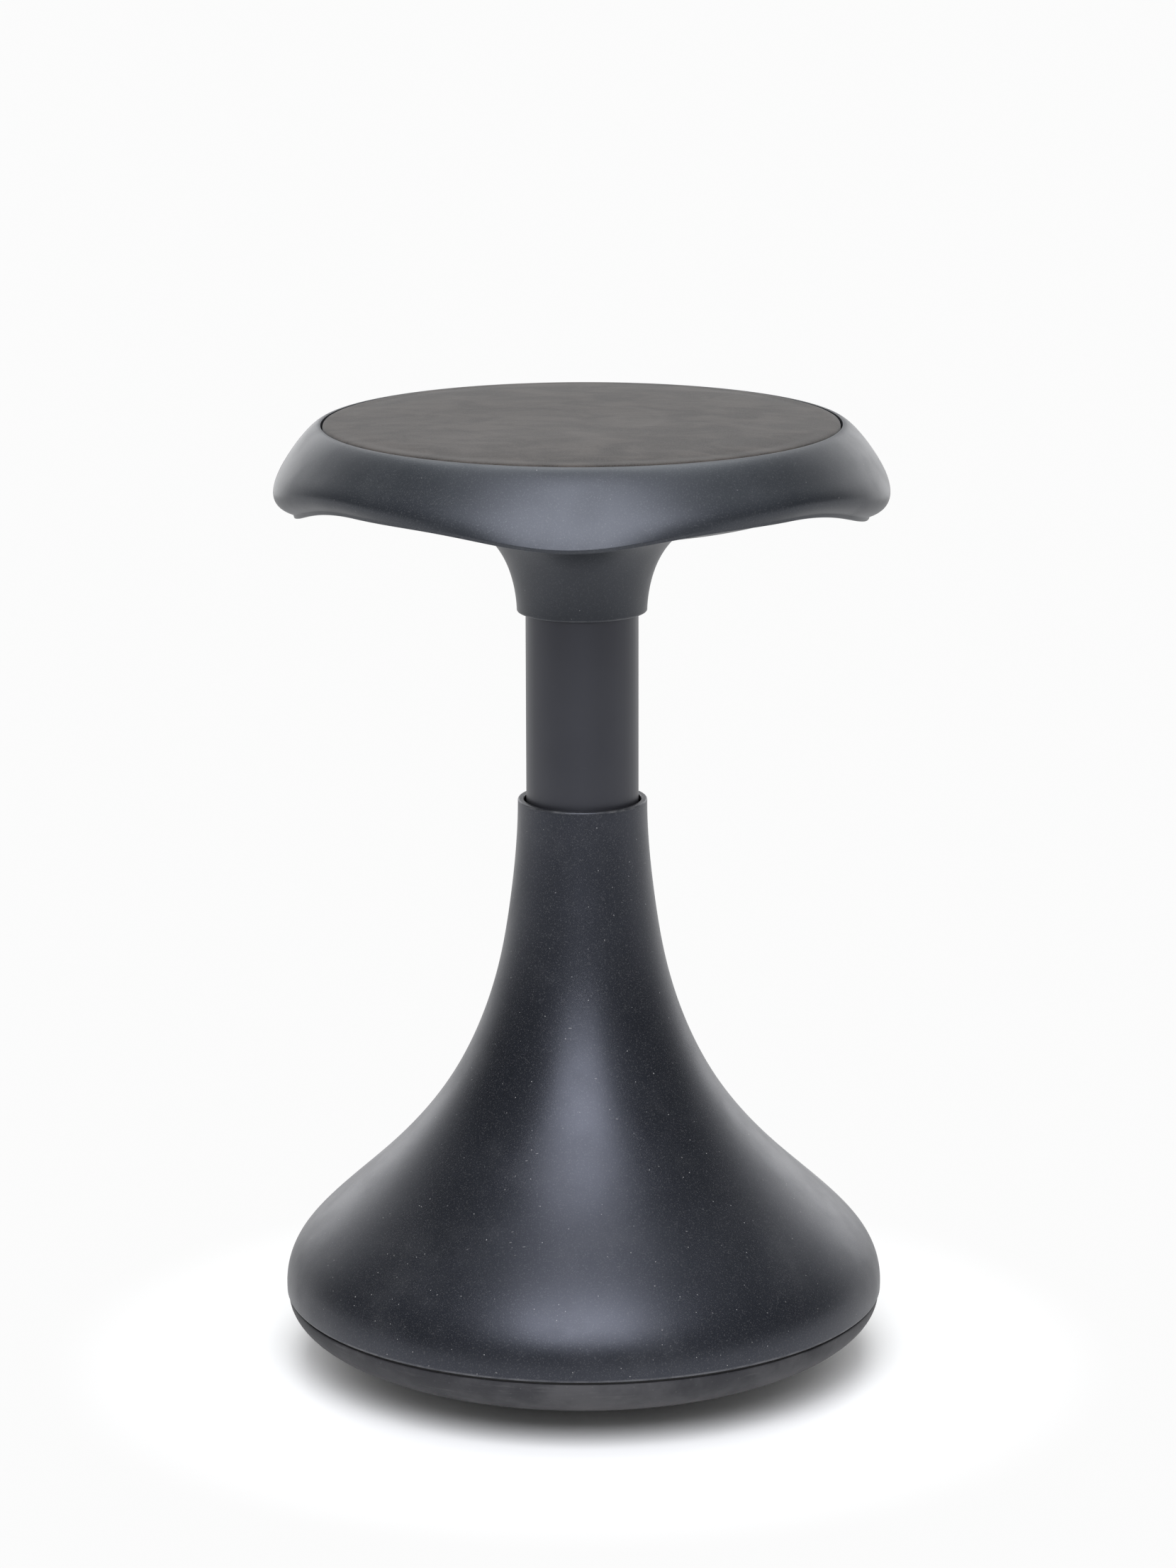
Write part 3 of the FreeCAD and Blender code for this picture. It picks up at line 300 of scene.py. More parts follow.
def extrudedPlastic(look):
    # column: lines along the draw, sleeve scratches round it, hardly any gloss change
    material, p = newPaint("columnPlastic")
    drawn = p.noise(1, 3.0, 0.6, p.stretched((420, 420, 3)))
    tone = p.blend(p.ease(p.noise(11, 3.0), 0.35, 0.65), look["dark"], look["light"])
    scratch = p.ease(p.noise(1, 4.0, 0.7, p.stretched((35, 35, 900), turn=(0.25, 0.1, 0))), 0.66, 0.72)
    scratch = scratch * p.ease(p.noise(16, 2.0), 0.52, 0.62) + p.specks(110, 0.05, 0.06)
    p.surface(
        base_Color=p.blend(scratch * 0.5, tone, (0.09, 0.09, 0.095)),
        roughness=look["roughness"] + drawn * 0.08 + scratch * 0.1,
        specular_IOR_Level=look["gloss"],
        specular_Tint=look["tint"],
        normal=p.bump(drawn * 0.00004 + p.noise(2400, 1.0) * 0.00003, 1.0, 0.5))
    return material


columnPlastic = extrudedPlastic(columnLook)

rubberLook = dict(dark=(0.024, 0.024, 0.028), light=(0.046, 0.0455, 0.050), dust=(0.20, 0.195, 0.195))


def scuffedRubber(look):
    # foot: greyer rubber, dusty towards the floor, with scuffs round it and grit marks where it rolls
    material, p = newPaint("footRubber")
    level = p.height()
    cloud = p.ease(p.noise(18, 5.0, 0.65), 0.36, 0.68)
    around = p.ease(p.noise(1, 5.0, 0.7, p.stretched((30, 30, 420))), 0.56, 0.72)
    grit = p.specks(330, 0.2, 0.22) + p.specks(150, 0.09, 0.2)
    low = p.ease(level, 0.006, 0.040, 1.0, 0.25)
    dusty = p.math("MINIMUM", (cloud * 0.3 + around * 0.45 + grit * 0.5) * low, 0.85)
    p.surface(
        base_Color=p.blend(dusty, p.blend(cloud, look["dark"], look["light"]), look["dust"]),
        roughness=0.62 + dusty * 0.25,
        specular_IOR_Level=0.28,
        normal=p.bump(p.noise(900, 3.0) * 0.00012 + around * -0.00008 + cloud * 0.0002, 1.0, 0.6))
    return material


footRubber = scuffedRubber(rubberLook)

coverLook = dict(dark=(0.0125, 0.0104, 0.0094), light=(0.0370, 0.0318, 0.0286), worn=(0.068, 0.0610, 0.0570))


def microfibre(look):
    # pad cover: short nap that lies in patches, fine fibres, hand smudges, a faint ring left by the
    # foam's cutter
    material, p = newPaint("padCover")
    nap = p.noise(1, 4.0, 0.62, p.stretched((26, 44, 30), turn=(0, 0, 0.5)), 0.8)
    fibre = p.noise(1300, 3.0, 0.65)
    thread = p.noise(1, 2.0, 0.6, p.stretched((2600, 500, 900)))
    smudge = p.ease(p.noise(9, 5.0, 0.6), 0.5, 0.72)
    ring = p.ease(p.math("ABSOLUTE", p.radius() - 0.052 + p.noise(12) * 0.008), 0.0, 0.006, 1.0, 0.0)
    ring = ring * p.ease(p.noise(15, 2.0), 0.45, 0.6)
    tone = p.blend(p.ease(nap, 0.36, 0.66), look["dark"], look["light"])
    tone = p.blend(p.ease(fibre + thread * 0.5, 0.55, 0.95) * 0.45, tone, look["worn"])
    p.surface(
        base_Color=p.blend(smudge * 0.28 + ring * 0.2, tone, look["worn"]),
        roughness=0.86 + nap * 0.1,
        specular_IOR_Level=0.2,
        sheen_Weight=0.12,
        sheen_Roughness=0.45,
        normal=p.bump(fibre * 0.00010 + thread * 0.00008 + nap * 0.0003, 1.0, 0.6))
    return material


padCover = microfibre(coverLook)


def blackPlastic(name, colour, roughness):
    # grip and tray: fine grain and a few pale rubs
    material, p = newPaint(name)
    rub = p.ease(p.noise(60, 4.0, 0.6), 0.55, 0.75)
    p.surface(
        base_Color=p.blend(rub * 0.2, colour, (0.09, 0.09, 0.09)),
        roughness=roughness + rub * 0.12,
        normal=p.bump(p.noise(2200, 2.0) * 0.00006, 1.0, 0.6))
    return material


gripPlastic = blackPlastic("gripPlastic", (0.016, 0.017, 0.019), 0.5)
trayPlastic = blackPlastic("trayPlastic", (0.007, 0.007, 0.008), 0.6)


def acetal():
    # bushes: milky white, turned lines, a little grease
    material, p = newPaint("bushPlastic")
    turned = p.noise(1, 2.0, 0.5, p.stretched((60, 60, 2600)))
    grease = p.ease(p.noise(40, 3.0), 0.55, 0.75)
    p.surface(
        base_Color=p.blend(grease * 0.35, (0.62, 0.60, 0.55), (0.42, 0.38, 0.28)),
        roughness=0.42 - grease * 0.22,
        normal=p.bump(turned * 0.00004, 1.0, 0.6))
    return material


def softRubber():
    # buffer: dull black with talc left in its pores
    material, p = newPaint("bufferRubber")
    pores = p.ease(p.noise(700, 3.0, 0.6), 0.5, 0.7)
    p.surface(
        base_Color=p.blend(pores * 0.4, (0.012, 0.012, 0.012), (0.07, 0.07, 0.068)),
        roughness=0.85 - pores * 0.1,
        normal=p.bump(pores * -0.00006, 1.0, 0.7))
    return material


def castIron():
    # ballast: raw sand casting with a thin rust bloom
    material, p = newPaint("ballastIron")
    sand = p.noise(650, 5.0, 0.7)
    rust = p.ease(p.noise(24, 5.0, 0.6), 0.52, 0.72)
    p.surface(
        base_Color=p.blend(rust * 0.6, (0.10, 0.098, 0.095), (0.16, 0.075, 0.038)),
        roughness=0.62 + rust * 0.25,
        metallic=1 - rust * 0.7,
        normal=p.bump(sand * 0.0004, 1.0, 0.7))
    return material


def powderCoat():
    # plate, hub and stand tube: orange peel in black powder
    material, p = newPaint("blackSteel")
    peel = p.noise(520, 2.0, 0.4)
    rub = p.ease(p.noise(90, 4.0, 0.65), 0.64, 0.74)
    p.surface(
        base_Color=p.blend(rub * 0.5, (0.014, 0.014, 0.016), (0.06, 0.06, 0.062)),
        roughness=0.42 + rub * 0.2,
        normal=p.bump(peel * 0.00012, 1.0, 0.5))
    return material


def zincPlate():
    # screws and lever: bluish zinc with a faint yellow bloom and drawn lines
    material, p = newPaint("zincSteel")
    bloom = p.ease(p.noise(70, 3.0), 0.4, 0.7)
    lines = p.noise(1, 3.0, 0.6, p.stretched((1500, 1500, 200), turn=(0, 0, math.pi / 4)))
    p.surface(
        base_Color=p.blend(bloom, (0.56, 0.58, 0.62), (0.62, 0.58, 0.48)),
        roughness=0.30 + bloom * 0.12 + lines * 0.06,
        metallic=1.0,
        normal=p.bump(lines * 0.00003, 1.0, 0.5))
    return material


def groundSteel():
    # rod, races and balls: fine rings from the grinder
    material, p = newPaint("groundSteel")
    rings = p.noise(1, 2.0, 0.5, p.stretched((30, 30, 4000)))
    oil = p.ease(p.noise(30, 2.0), 0.5, 0.7)
    p.surface(
        base_Color=p.blend(oil * 0.5, (0.60, 0.60, 0.60), (0.46, 0.44, 0.40)),
        roughness=0.22 + rings * 0.08 - oil * 0.06,
        metallic=1.0,
        normal=p.bump(rings * 0.00002, 1.0, 0.5))
    return material


def hardChrome():
    # inner tube: mirror chrome, lightly hazed by the guide bush
    material, p = newPaint("chromedSteel")
    haze = p.noise(1, 3.0, 0.6, p.stretched((220, 220, 6)))
    p.surface(
        base_Color=p.blend(p.ease(haze, 0.4, 0.7), (0.70, 0.71, 0.73), (0.62, 0.63, 0.65)),
        roughness=0.08 + haze * 0.10,
        metallic=1.0)
    return material


slotFinish = {
    "bell_plastic": bellPlastic, "shell_plastic": shellPlastic, "column_plastic": columnPlastic,
    "grip_plastic": gripPlastic, "tray_plastic": trayPlastic, "bush_plastic": acetal(),
    "foot_rubber": footRubber, "buffer_rubber": softRubber(), "pad_cover": padCover,
    "ballast_iron": castIron(), "black_steel": powderCoat(), "zinc_steel": zincPlate(),
    "ground_steel": groundSteel(), "chromed_steel": hardChrome(),
}
for part in frame["record"]["subparts"]:
    node = nodes[part["node"]]
    node.data.materials.clear()
    node.data.materials.append(slotFinish[part["material_slot"]])
print("materials made:", len(slotFinish))


# Base

foot = dict(flat=0.050, radius=0.1820, height=0.0443, wall=0.005, fullness=0.0005, topRound=0.0008, turns=256)


def rocker(size, inset, floor):
    # curve from the flat out and up to the seam, an inset inside the rubber's outside
    flat, radius, height = size["flat"], size["radius"], size["height"]
    return [(flat, floor), (share(flat, radius, 0.172), floor),
            (share(flat, radius, 0.961) - inset * 0.75, height * 0.348 + inset * 0.8),
            (radius + size["fullness"] - inset, height * 0.88), (radius - inset, height)]


def buildFoot(size):
    # lathed rocker: flat middle, curve out to the seam, and back down the inside
    outside = bSpline(rocker(size, 0, 0), 96)
    inside = bSpline(rocker(size, size["wall"], size["wall"]), 48)[::-1]
    edge = size["topRound"]
    outside = outside[outside[:, 1] < size["height"] - edge]
    outline = chain(straight((0, 0), (size["flat"], 0), 8), outside,
                    arc(size["radius"] - edge, size["height"] - edge, edge, 0, 90),
                    inside, (0, size["wall"]))
    return skin("footRocker", lathe(outline, size["turns"]), False)


addPiece(buildFoot(foot), footRubber, "base", ["rubber_foot"])

bell = dict(rim=0.1832, bottom=0.0460, top=0.3544, neck=0.0392, mouth=0.0354, wall=0.004, ledge=0.030,
            upright=0.0045, rimRound=0.0006, lipRound=0.0012, neckShare=0.927, turns=288,
            flank=[(1.018, 0.090), (0.583, 0.251), (0.2715, 0.419), (0.0972, 0.6135), (0.0326, 0.781)],
            inner=[(-5.0, -2.6), (-4.0, -4.4), (-4.6, -2.4), (-4.2, -1.2), (-4.0, -0.4)])


def buildBell(size):
    # lathed cover: flared flank, rounded mouth, even wall inside, ledge at the foot
    def flank(shifts):
        return [(share(size["neck"], size["rim"], out) + size["wall"] / 4 * across,
                 share(size["bottom"], size["top"], up) + size["wall"] / 4 * along)
                for (out, up), (across, along) in zip(size["flank"], shifts)]

    rim, bottom, top, lip, edge = size["rim"], size["bottom"], size["top"], size["lipRound"], size["rimRound"]
    neck, mouth = size["neck"], size["mouth"]
    neckStart = share(bottom, top, size["neckShare"])
    innerRim, ledgeTop = rim - size["wall"], bottom + size["wall"]
    outer = bSpline([(rim, bottom + edge), (rim, bottom + size["upright"])] + flank([(0, 0)] * 5)
                    + [(neck, neckStart), (neck, top - lip)], 200)
    inner = bSpline([(mouth, top - lip), (mouth, neckStart)] + flank(size["inner"])[::-1]
                    + [(innerRim, ledgeTop + size["upright"]), (innerRim, ledgeTop)], 80)
    outline = chain((innerRim - size["ledge"], bottom), arc(rim - edge, bottom + edge, edge, -90, 0),
                    outer, arc(neck - lip, top - lip, lip, 0, 90), arc(mouth + lip, top - lip, lip, 90, 180),
                    inner, (innerRim - size["ledge"], ledgeTop))
    return skin("bellCover", lathe(outline, size["turns"]), True)


addPiece(buildBell(bell), bellPlastic, "base", ["base_bell"])
print("base built")


# Column and underside of the seat

column = dict(radius=0.0340, wall=0.0025, bottom=0.0950, top=0.5120, edge=0.0004, turns=192)


def buildColumn(size):
    # lathed tube with broken edges
    outer, inner, edge = size["radius"], size["radius"] - size["wall"], size["edge"]
    low, high = size["bottom"], size["top"]
    outline = chain((inner, low), arc(outer - edge, low + edge, edge, -90, 0),
                    straight((outer, low + edge), (outer, high - edge), 60),
                    arc(outer - edge, high - edge, edge, 0, 90), straight((inner, high), (inner, low), 30))
    return skin("columnTube", lathe(outline, size["turns"]), True)


addPiece(buildColumn(column), columnPlastic, "seat", ["column_sleeve"])

under = dict(bottom=0.4701, column=0.0340, horn=0.0392, flange=(0.154, 0.5461), edge=(0.169, 0.5549),
             wall=0.003, grip=0.014, lipRound=0.0008, turns=288,
             trumpet=[(0.0, 0.024), (0.006, 0.375), (0.271, 0.8566), (0.7117, 0.7447)],
             inner=[(0.7822, 0.8046, -0.3, 0.95), (0.4216, 0.7842, 0.0, 1.0), (0.1307, 0.7026, -0.7, 0.7)],
             slotStart=0.088, slotLength=0.024, slotWidth=0.024, slotTurn=45, slotCorner=0.004, cups=4,
             screwCircle=0.112, cupRadius=0.0043, cupTop=0.536)


def prism(outline, low, high):
    # upright solid over a convex outline of (x, y) points, as a skin with a point in the middle of each end
    x, y = outline[:, 0], outline[:, 1]
    centre = outline.mean(axis=0)
    rows = [(centre[0] + 0 * x, centre[1] + 0 * y, low), (x, y, low), (x, y, high),
            (centre[0] + 0 * x, centre[1] + 0 * y, high)]
    return np.stack([np.stack([a, b, np.full(len(x), z)], -1) for a, b, z in rows])


def buildUnderside(size):
    # lathed trumpet and pan, then the lever's slot and the screws' cups cut out of it
    horn, low = size["horn"], size["bottom"]
    flange, edge, wall, lip = size["flange"], size["edge"], size["wall"], size["lipRound"]

    def pole(out, up, across=0.0, along=0.0):
        return (share(horn, flange[0], out) + wall * across, share(low, flange[1], up) + wall * along)

    ledge = (horn - wall, low + size["grip"])
    outer = bSpline([(horn, low + lip)] + [pole(*t) for t in size["trumpet"]] + [flange], 120)
    inner = bSpline([(flange[0] - wall / 3, flange[1] + wall)] + [pole(*t) for t in size["inner"]]
                    + [(ledge[0], ledge[1] + wall), ledge], 80)
    outline = chain((size["column"], low), arc(horn - lip, low + lip, lip, -90, 0), outer,
                    straight(flange, edge, 8), (edge[0], edge[1] + wall), inner, (size["column"], ledge[1]))
    pan = bpy.data.objects.new("pan", skin("pan", lathe(outline, size["turns"]), True))
    turn = math.radians(size["slotTurn"])
    half, corner = size["slotWidth"] / 2, size["slotCorner"]
    start, end = size["slotStart"], size["slotStart"] + size["slotLength"]
    window = np.concatenate([
        arc(end - corner, half - corner, corner, 0, 90),
        arc(start + corner, half - corner, corner, 90, 180),
        arc(start + corner, corner - half, corner, 180, 270),
        arc(end - corner, corner - half, corner, 270, 360)])
    rotate = np.array([[math.cos(turn), math.sin(turn)], [-math.sin(turn), math.cos(turn)]])
    cutters = [prism(window @ rotate, low, edge[1] + wall)]
    for a in np.linspace(0, 2 * np.pi, size["cups"], endpoint=False):
        x, y = size["screwCircle"] * math.cos(a), size["screwCircle"] * math.sin(a)
        cup = arc(x, y, size["cupRadius"], 0, 345, 24)
        cutters.append(prism(cup, low, size["cupTop"]))
    scene = bpy.context.scene
    scene.collection.objects.link(pan)
    for number, grid in enumerate(cutters):
        knife = bpy.data.objects.new("knife%d" % number, skin("knife%d" % number, grid, False))
        scene.collection.objects.link(knife)
        cut = pan.modifiers.new("cut%d" % number, "BOOLEAN")
        cut.operation, cut.object, cut.solver = "DIFFERENCE", knife, "EXACT"
    bpy.context.view_layer.update()
    ready = bpy.data.meshes.new_from_object(pan.evaluated_get(bpy.context.evaluated_depsgraph_get()))
    for thing in [o for o in scene.objects if o.name.startswith("knife")] + [pan]:
        bpy.data.objects.remove(thing)
    ready.name = "seatUnderside"
    tidyMesh(ready, 35)
    return ready


underMesh = buildUnderside(under)
addPiece(underMesh, shellPlastic, "seat", ["under_pan"])
print("column and underside built:", len(underMesh.polygons), "faces in the underside")


# Seat

skirt = dict(plane=0.584, recess=0.1554, corner=0.0006, wall=0.003, floorTop=0.0105, floorBottom=0.0135,
             edgeRound=0.0043, root=0.009, lobeSharpness=2.4, archDepth=0.0363, turns=384,
             lipBand=[(0, 0.0022), (0.00006, 0.0020), (0.0003, 0.0016), (0.0005, 0.0006), (0.0007, 0.00025),
                      (0.0011, 0.00005), (0.0017, 0)],
             side=dict(depth=0.0560, bulge=0.1900, bulgeRise=0.0082, brow=0.1789, browDepth=0.0206,
                       lip=0.1722),
             front=dict(depth=0.0452, bulge=0.1822, bulgeRise=0.0100, brow=0.1748, browDepth=0.0200,
                        lip=0.1848))


def buildShell(size):
    # upright sections swept round the axis: f = cos^2 of the turn leads from the side section, which curls
    # in, to the front one, which flares; lipBand is the narrow band round the lip;
    # depth = arch + (lobe - arch) * cos^2(2 turn)^sharpness
    turn = np.linspace(0, 2 * np.pi, size["turns"], endpoint=False)
    f = np.cos(turn) ** 2

    def along(name):
        return share(size["side"][name], size["front"][name], f)

    wall, recess, arch, band = size["wall"], size["recess"], size["archDepth"], size["lipBand"]
    lobe = np.cos(2 * turn) ** 2
    depth = arch + np.where(f > 0.5, (size["front"]["depth"] - arch) * lobe ** size["lobeSharpness"],
                            (size["side"]["depth"] - arch) * lobe)
    lip, brow = along("lip"), along("brow")
    browDepth = along("browDepth") * (0.7 + 0.3 * depth / along("depth"))
    bulge, bulgeDepth = along("bulge"), depth - along("bulgeRise")

    def poles(*pairs):
        return np.stack([np.stack([r + 0 * turn, d + 0 * turn], -1) for r, d in pairs], 1)

    outside = bSpline(poles((recess, wall * 0.1), (recess + size["edgeRound"], wall * -0.23),
                            (brow, browDepth),
                            (bulge, bulgeDepth), (lip, depth - band[0][1])), 100)
    rim = poles(*[(lip - inwards, depth - above) for inwards, above in band[1:]])
    inside = bSpline(poles((lip - wall * 0.85, depth), (lip - wall, depth - wall * 0.4),
                           (bulge - wall * 1.15, bulgeDepth - wall * 0.5),
                           (brow - wall * 1.1, browDepth - wall * 0.2),
                           (size["side"]["lip"] - size["root"], size["floorBottom"])), 50)
    floorTop, corner = size["floorTop"], size["corner"]
    well = poles((0, floorTop), (recess - corner, floorTop), (recess, floorTop - corner))
    sections = np.concatenate([well, outside, rim, inside, poles((0, size["floorBottom"]))], 1)
    r, z = sections[..., 0].T, size["plane"] - sections[..., 1].T
    return skin("seatShell", np.stack([r * np.sin(turn), -r * np.cos(turn), z], -1), False)


addPiece(buildShell(skirt), shellPlastic, "seat", ["seat_shell"])

pad = dict(plane=0.584, bottom=0.5765, radius=0.1542, crown=0.0021, fullness=0.8, shoulder=0.0006,
           edgeDrop=0.0010, sideTop=0.0030, rollFlat=0.004, edgeRise=0.0004, roll=0.010, tip=0.02, cells=72,
           pressure=4.0, frames=20, movement=0.0010, quality=6, mass=0.4, stiffness=18,
           foamWave=0.00018, foamFade=0.03)


def roundGrid(cells):
    # square grid drawn into a disc: each square ring becomes a circle, with its points evenly round it
    u, v = np.meshgrid(*[np.linspace(-1, 1, cells + 1)] * 2, indexing="ij")
    wide = np.abs(u) >= np.abs(v)
    r = np.where(wide, u, v)
    safe = np.where(np.abs(r) < 1e-9, 1, r)
    turn = np.where(wide, math.pi / 4 * v / safe, math.pi / 2 - math.pi / 4 * u / safe)
    return r * np.cos(turn), r * np.sin(turn)


def buildPad(size):
    # top sheet on the round grid, crowned by crown * (1 - r^2)^fullness, then rings of the sheet's border
    # points down the roll and the side
    radius, plane, cells = size["radius"], size["plane"], size["cells"]
    inner, drop = radius - size["roll"], size["edgeDrop"]
    shoulder, sideTop = plane + size["shoulder"], plane - size["sideTop"]
    x, y = roundGrid(cells)
    rise = size["crown"] * np.maximum(1 - x * x - y * y, 0) ** size["fullness"]
    top = np.stack([x * inner, y * inner, shoulder + rise], -1)
    index = np.arange((cells + 1) ** 2).reshape(cells + 1, cells + 1)
    quads = [np.stack([index[:-1, :-1], index[1:, :-1], index[1:, 1:], index[:-1, 1:]], -1).reshape(-1, 4)]
    border = np.concatenate([index[-1, :-1], index[::-1, -1][:-1], index[0, ::-1][:-1], index[:-1, 0]])
    around = top.reshape(-1, 3)[border][:, :2] / inner
    outline = chain(bSpline([(inner, shoulder), (radius - size["rollFlat"], shoulder),
                             (radius, plane + size["edgeRise"]), (radius, plane - drop), (radius, sideTop)],
                            12)[1:],
                    straight((radius, sideTop), (radius, size["bottom"]), 4),
                    straight((radius, size["bottom"]), (size["tip"], size["bottom"]), 16))
    rings = np.stack([np.concatenate([around * r, np.full((len(around), 1), z)], 1) for r, z in outline])
    points = np.concatenate([top.reshape(-1, 3), rings.reshape(-1, 3), [(0, 0, size["bottom"])]])
    ringIndex = index.size + np.arange(rings[..., 0].size).reshape(len(rings), -1)
    rows = np.concatenate([border[None], ringIndex])
    quads.append(np.stack([rows[:-1], rows[1:], np.roll(rows[1:], -1, 1), np.roll(rows[:-1], -1, 1)], -1)
                 .reshape(-1, 4))
    last = rows[-1]
    tip = np.stack([last, np.full(len(last), len(points) - 1), np.roll(last, -1)], -1)
    mesh = bpy.data.meshes.new("seatPad")
    mesh.from_pydata(points.tolist(), [], np.concatenate(quads).tolist() + tip.tolist())
    tidyMesh(mesh, 180)
    return mesh, index[1:-1, 1:-1].ravel().tolist()


def inflate(mesh, loose, size):
    # cloth held at its border and side swells under even pressure; each point's movement m is eased to
    # movement * tanh(m / movement), and then a little rise and fall of the foam is added
    sheet = bpy.data.objects.new("sheet", mesh)
    scene = bpy.context.scene
    scene.collection.objects.link(sheet)
    held = sheet.vertex_groups.new(name="held")
    held.add(sorted(set(range(len(mesh.vertices))) - set(loose)), 1.0, "REPLACE")
    cloth = sheet.modifiers.new("swell", "CLOTH")
    cloth.settings.quality, cloth.settings.mass = size["quality"], size["mass"]
    cloth.settings.tension_stiffness = cloth.settings.compression_stiffness = size["stiffness"]
    cloth.settings.use_pressure, cloth.settings.uniform_pressure_force = True, size["pressure"]
    cloth.settings.effector_weights.gravity = 0
    cloth.settings.vertex_group_mass = held.name
    cloth.collision_settings.use_collision = False
    cloth.point_cache.frame_start, cloth.point_cache.frame_end = 1, size["frames"]
    for number in range(1, size["frames"] + 1):
        scene.frame_set(number)
    start = np.empty(len(mesh.vertices) * 3)
    mesh.vertices.foreach_get("co", start)
    swollen = np.empty_like(start)
    sheet.evaluated_get(bpy.context.evaluated_depsgraph_get()).data.vertices.foreach_get("co", swollen)
    scene.frame_set(1)
    bpy.data.objects.remove(sheet)
    start, swollen = start.reshape(-1, 3), swollen.reshape(-1, 3)
    way = swollen - start
    length = np.linalg.norm(way, axis=1, keepdims=True)
    print("pad swells by up to", round(float(length.max()) * 1000, 2), "mm before easing")
    ready = start + way * size["movement"] * np.tanh(length / size["movement"]) / np.maximum(length, 1e-9)
    x, y = ready[:, 0], ready[:, 1]
    rim = size["radius"] - size["roll"]
    soft = np.clip((rim - np.hypot(x, y)) / size["foamFade"], 0, 1) * (ready[:, 2] > size["plane"])
    wave = np.sin(31 * x + 1.3) * np.sin(27 * y + 0.4) * np.cos(12 * (x + y))
    ready[:, 2] -= soft * size["foamWave"] * (1 + wave)
    mesh.vertices.foreach_set("co", ready.ravel())
    mesh.update()


padMesh, padTop = buildPad(pad)
inflate(padMesh, padTop, pad)
padPiece = addPiece(padMesh, padCover, "seat", ["seat_pad"])
finer = padPiece.modifiers.new("finer", "SUBSURF")
finer.levels = finer.render_levels = 1
print("seat built")


# Lever

grip = dict(start=0.116, end=0.165, middle=0.516, halfWidth=0.022, halfHeight=0.005, hollow=0.0009, turn=45,
            steps=72, around=96)


def buildGrip(size):
    # paddle along the lever: superellipse sections, eased to its ends, with three finger hollows below
    s = np.linspace(0, 1, size["steps"])
    a = np.linspace(0, 2 * np.pi, size["around"], endpoint=False)
    ends = (1 - np.abs(2 * s - 1) ** 7) ** (1 / 3.0)
    wide = size["halfWidth"] * (0.80 + 0.20 * np.sin(np.pi * (s * 0.75 + 0.12))) * ends
    tall = size["halfHeight"] * ends
    across = wide[:, None] * np.sign(np.cos(a)) * np.abs(np.cos(a)) ** 0.55
    up = tall[:, None] * np.sign(np.sin(a)) * np.abs(np.sin(a)) ** 0.8
    hollows = size["hollow"] * (0.5 - 0.5 * np.cos(6 * np.pi * s))[:, None] * np.minimum(np.sin(a), 0) ** 2
    along = share(size["start"], size["end"], s)[:, None] + 0 * a
    turn = math.radians(size["turn"])
    x = along * math.cos(turn) - across * math.sin(turn)
    y = along * math.sin(turn) + across * math.cos(turn)
    return skin("leverGrip", np.stack([x, y, size["middle"] + up + hollows], -1), False, 60)


addPiece(buildGrip(grip), gripPlastic, "lever", ["lever_grip"])
print("lever built")


# Studio

studio = dict(floorRadius=18.0, floorColour=0.88, dome=0.60, floorWhite=0.97, frontDim=0.22,
              shadowFade=(0.13, 0.34), frontFade=(-1.6, -0.8), backdrop=0.98, roomDim=0.05, backBright=0.95,
              backFade=(0.32, 0.78), ceilingFade=(0.50, 0.80), ceiling=0.35,
              key=dict(power=31, width=1.15, height=1.30, place=(0.0, -1.13, 1.35), target=(0, -0.1, 0.2)),
              overhead=dict(power=14, width=1.3, height=1.1, place=(0.0, 0.35, 1.75), target=(0, 0.05, 0.3)),
              sides=dict(power=7, width=1.0, height=1.4, place=(1.05, 2.05, 0.80), target=(0, 0, 0.35)))


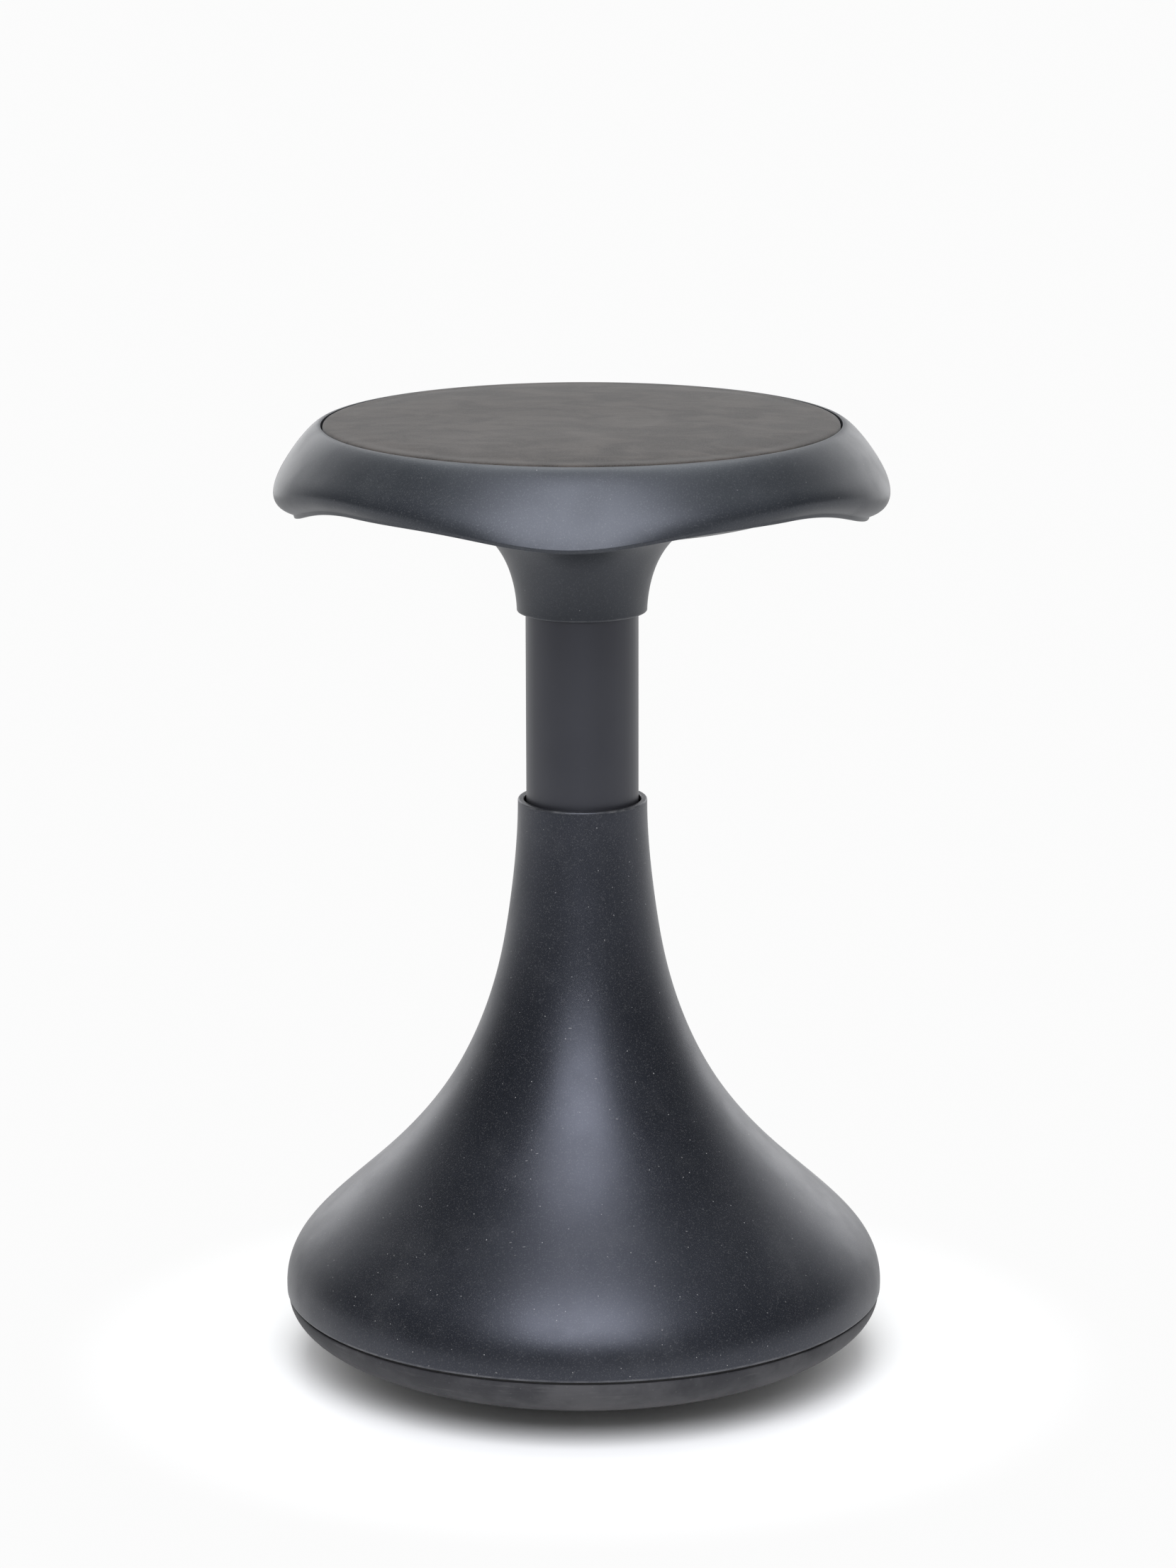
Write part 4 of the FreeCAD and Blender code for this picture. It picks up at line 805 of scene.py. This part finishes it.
def buildFloor(size):
    # flat disc: pale paper that takes the shadow near the stool, eased into plain white farther out for the
    # camera and mirrors, dim far in front for mirrors alone, and clear from underneath
    r = np.geomspace(0.05, size["floorRadius"], 40)
    outline = np.stack([np.concatenate([[0], r]), np.zeros(41)], -1)
    mesh = bpy.data.meshes.new("floor")
    grid = lathe(outline, 96)
    index = np.arange(grid[..., 0].size).reshape(grid.shape[:2])
    near, far = index[:-1], index[1:]
    quads = np.stack([near, far, np.roll(far, -1, 1), np.roll(near, -1, 1)], -1).reshape(-1, 4)
    mesh.from_pydata(grid.reshape(-1, 3).tolist(), [], quads.tolist())
    mesh.update()
    floor = bpy.data.objects.new("floor", mesh)
    bpy.context.scene.collection.objects.link(floor)
    material, p = newPaint("paperFloor")
    seen = p.node("ShaderNodeLightPath", output="Is Camera Ray")
    mirrored = p.node("ShaderNodeLightPath", output="Is Glossy Ray")
    clear = p.node("ShaderNodeLightPath", output="Is Transmission Ray")
    below = p.node("ShaderNodeNewGeometry", output="Backfacing")
    depth = p.node("ShaderNodeSeparateXYZ", {}, {0: p.place}, "Y")
    paper = p.node("ShaderNodeBsdfDiffuse", {}, {"Color": (*[size["floorColour"]] * 3, 1)})
    white = p.node("ShaderNodeEmission", {}, {"Color": (1, 1, 1, 1), "Strength": size["floorWhite"]})
    dark = p.node("ShaderNodeEmission", {}, {"Color": (1, 1, 1, 1), "Strength": size["frontDim"]})
    far = p.ease(p.radius(), *size["shadowFade"])
    front = p.ease(depth, *size["frontFade"], 1.0, 0.0) * mirrored
    sheet = p.node("ShaderNodeMixShader", {}, {0: front, 1: white, 2: dark})
    shown = p.math("MAXIMUM", p.math("MAXIMUM", seen, clear), mirrored) * far
    both = p.node("ShaderNodeMixShader", {}, {0: shown, 1: paper, 2: sheet})
    under = p.node("ShaderNodeBsdfTransparent")
    p.out(p.node("ShaderNodeMixShader", {}, {0: below, 1: both, 2: under}))
    mesh.materials.append(material)


def buildWorld(size):
    # mirrored: white backdrop behind the stool, dimmer ceiling, dark room in front; for the rest a soft even
    # dome, and plain white to the camera
    world = bpy.data.worlds.new("studio")
    world.use_nodes = True
    bpy.context.scene.world = world
    p = Paint(world.node_tree, "Generated")
    depth = p.node("ShaderNodeSeparateXYZ", {}, {0: p.place}, "Y")
    level = p.node("ShaderNodeSeparateXYZ", {}, {0: p.place}, "Z")
    behind = p.ease(depth, *size["backFade"])
    low = p.ease(level, *size["ceilingFade"], 1.0, size["ceiling"])
    mirrored = size["roomDim"] + behind * low * size["backBright"]
    seen = p.node("ShaderNodeLightPath", output="Is Camera Ray")
    clear = p.node("ShaderNodeLightPath", output="Is Transmission Ray")
    glossy = p.node("ShaderNodeLightPath", output="Is Glossy Ray")
    direct = p.math("MAXIMUM", seen, clear)
    strength = direct * size["backdrop"] + (1 - direct) * (glossy * mirrored + (1 - glossy) * size["dome"])
    light = p.node("ShaderNodeBackground", {}, {"Color": (1, 1, 1, 1), "Strength": strength})
    p.out(light, "ShaderNodeOutputWorld")


def addPanel(name, panel, colour=(1, 1, 1), mirror=1):
    # soft panel lamp that points from its place at the target, unseen by the camera
    data = bpy.data.lights.new(name, "AREA")
    data.shape, data.size, data.size_y = "RECTANGLE", panel["width"], panel["height"]
    data.energy, data.color = panel["power"], colour
    lamp = bpy.data.objects.new(name, data)
    place = Vector((panel["place"][0] * mirror, *panel["place"][1:]))
    lamp.location = place
    lamp.rotation_euler = (Vector(panel["target"]) - place).to_track_quat("-Z", "Y").to_euler()
    lamp.visible_camera = False
    bpy.context.scene.collection.objects.link(lamp)


buildFloor(studio)
buildWorld(studio)
addPanel("keyPanel", studio["key"], (0.94, 0.955, 1.0))
addPanel("overheadPanel", studio["overhead"], (0.97, 1.0, 0.985))
addPanel("leftPanel", studio["sides"], mirror=-1)
addPanel("rightPanel", studio["sides"])

camera = dict(aside=0.00335, distance=3.0309, height=1.0800, round=2.3, pitch=13.3153, roll=-0.13,
              lens=118.16)


def buildCamera(size):
    data = bpy.data.cameras.new("camera")
    data.sensor_fit, data.sensor_width, data.lens = "AUTO", 36, size["lens"]
    data.clip_end = 100
    eye = bpy.data.objects.new("camera", data)
    turn = (Matrix.Rotation(math.radians(90 - size["pitch"]), 4, "X")
            @ Matrix.Rotation(math.radians(size["roll"]), 4, "Z"))
    around = Matrix.Rotation(math.radians(size["round"]), 4, "Z")  # turned about the stool's axis
    place = Matrix.Translation((size["aside"], -size["distance"], size["height"]))
    eye.matrix_world = around @ place @ turn
    bpy.context.scene.collection.objects.link(eye)
    bpy.context.scene.camera = eye


buildCamera(camera)
bpy.context.scene.view_settings.view_transform = "Standard"
print("studio set")
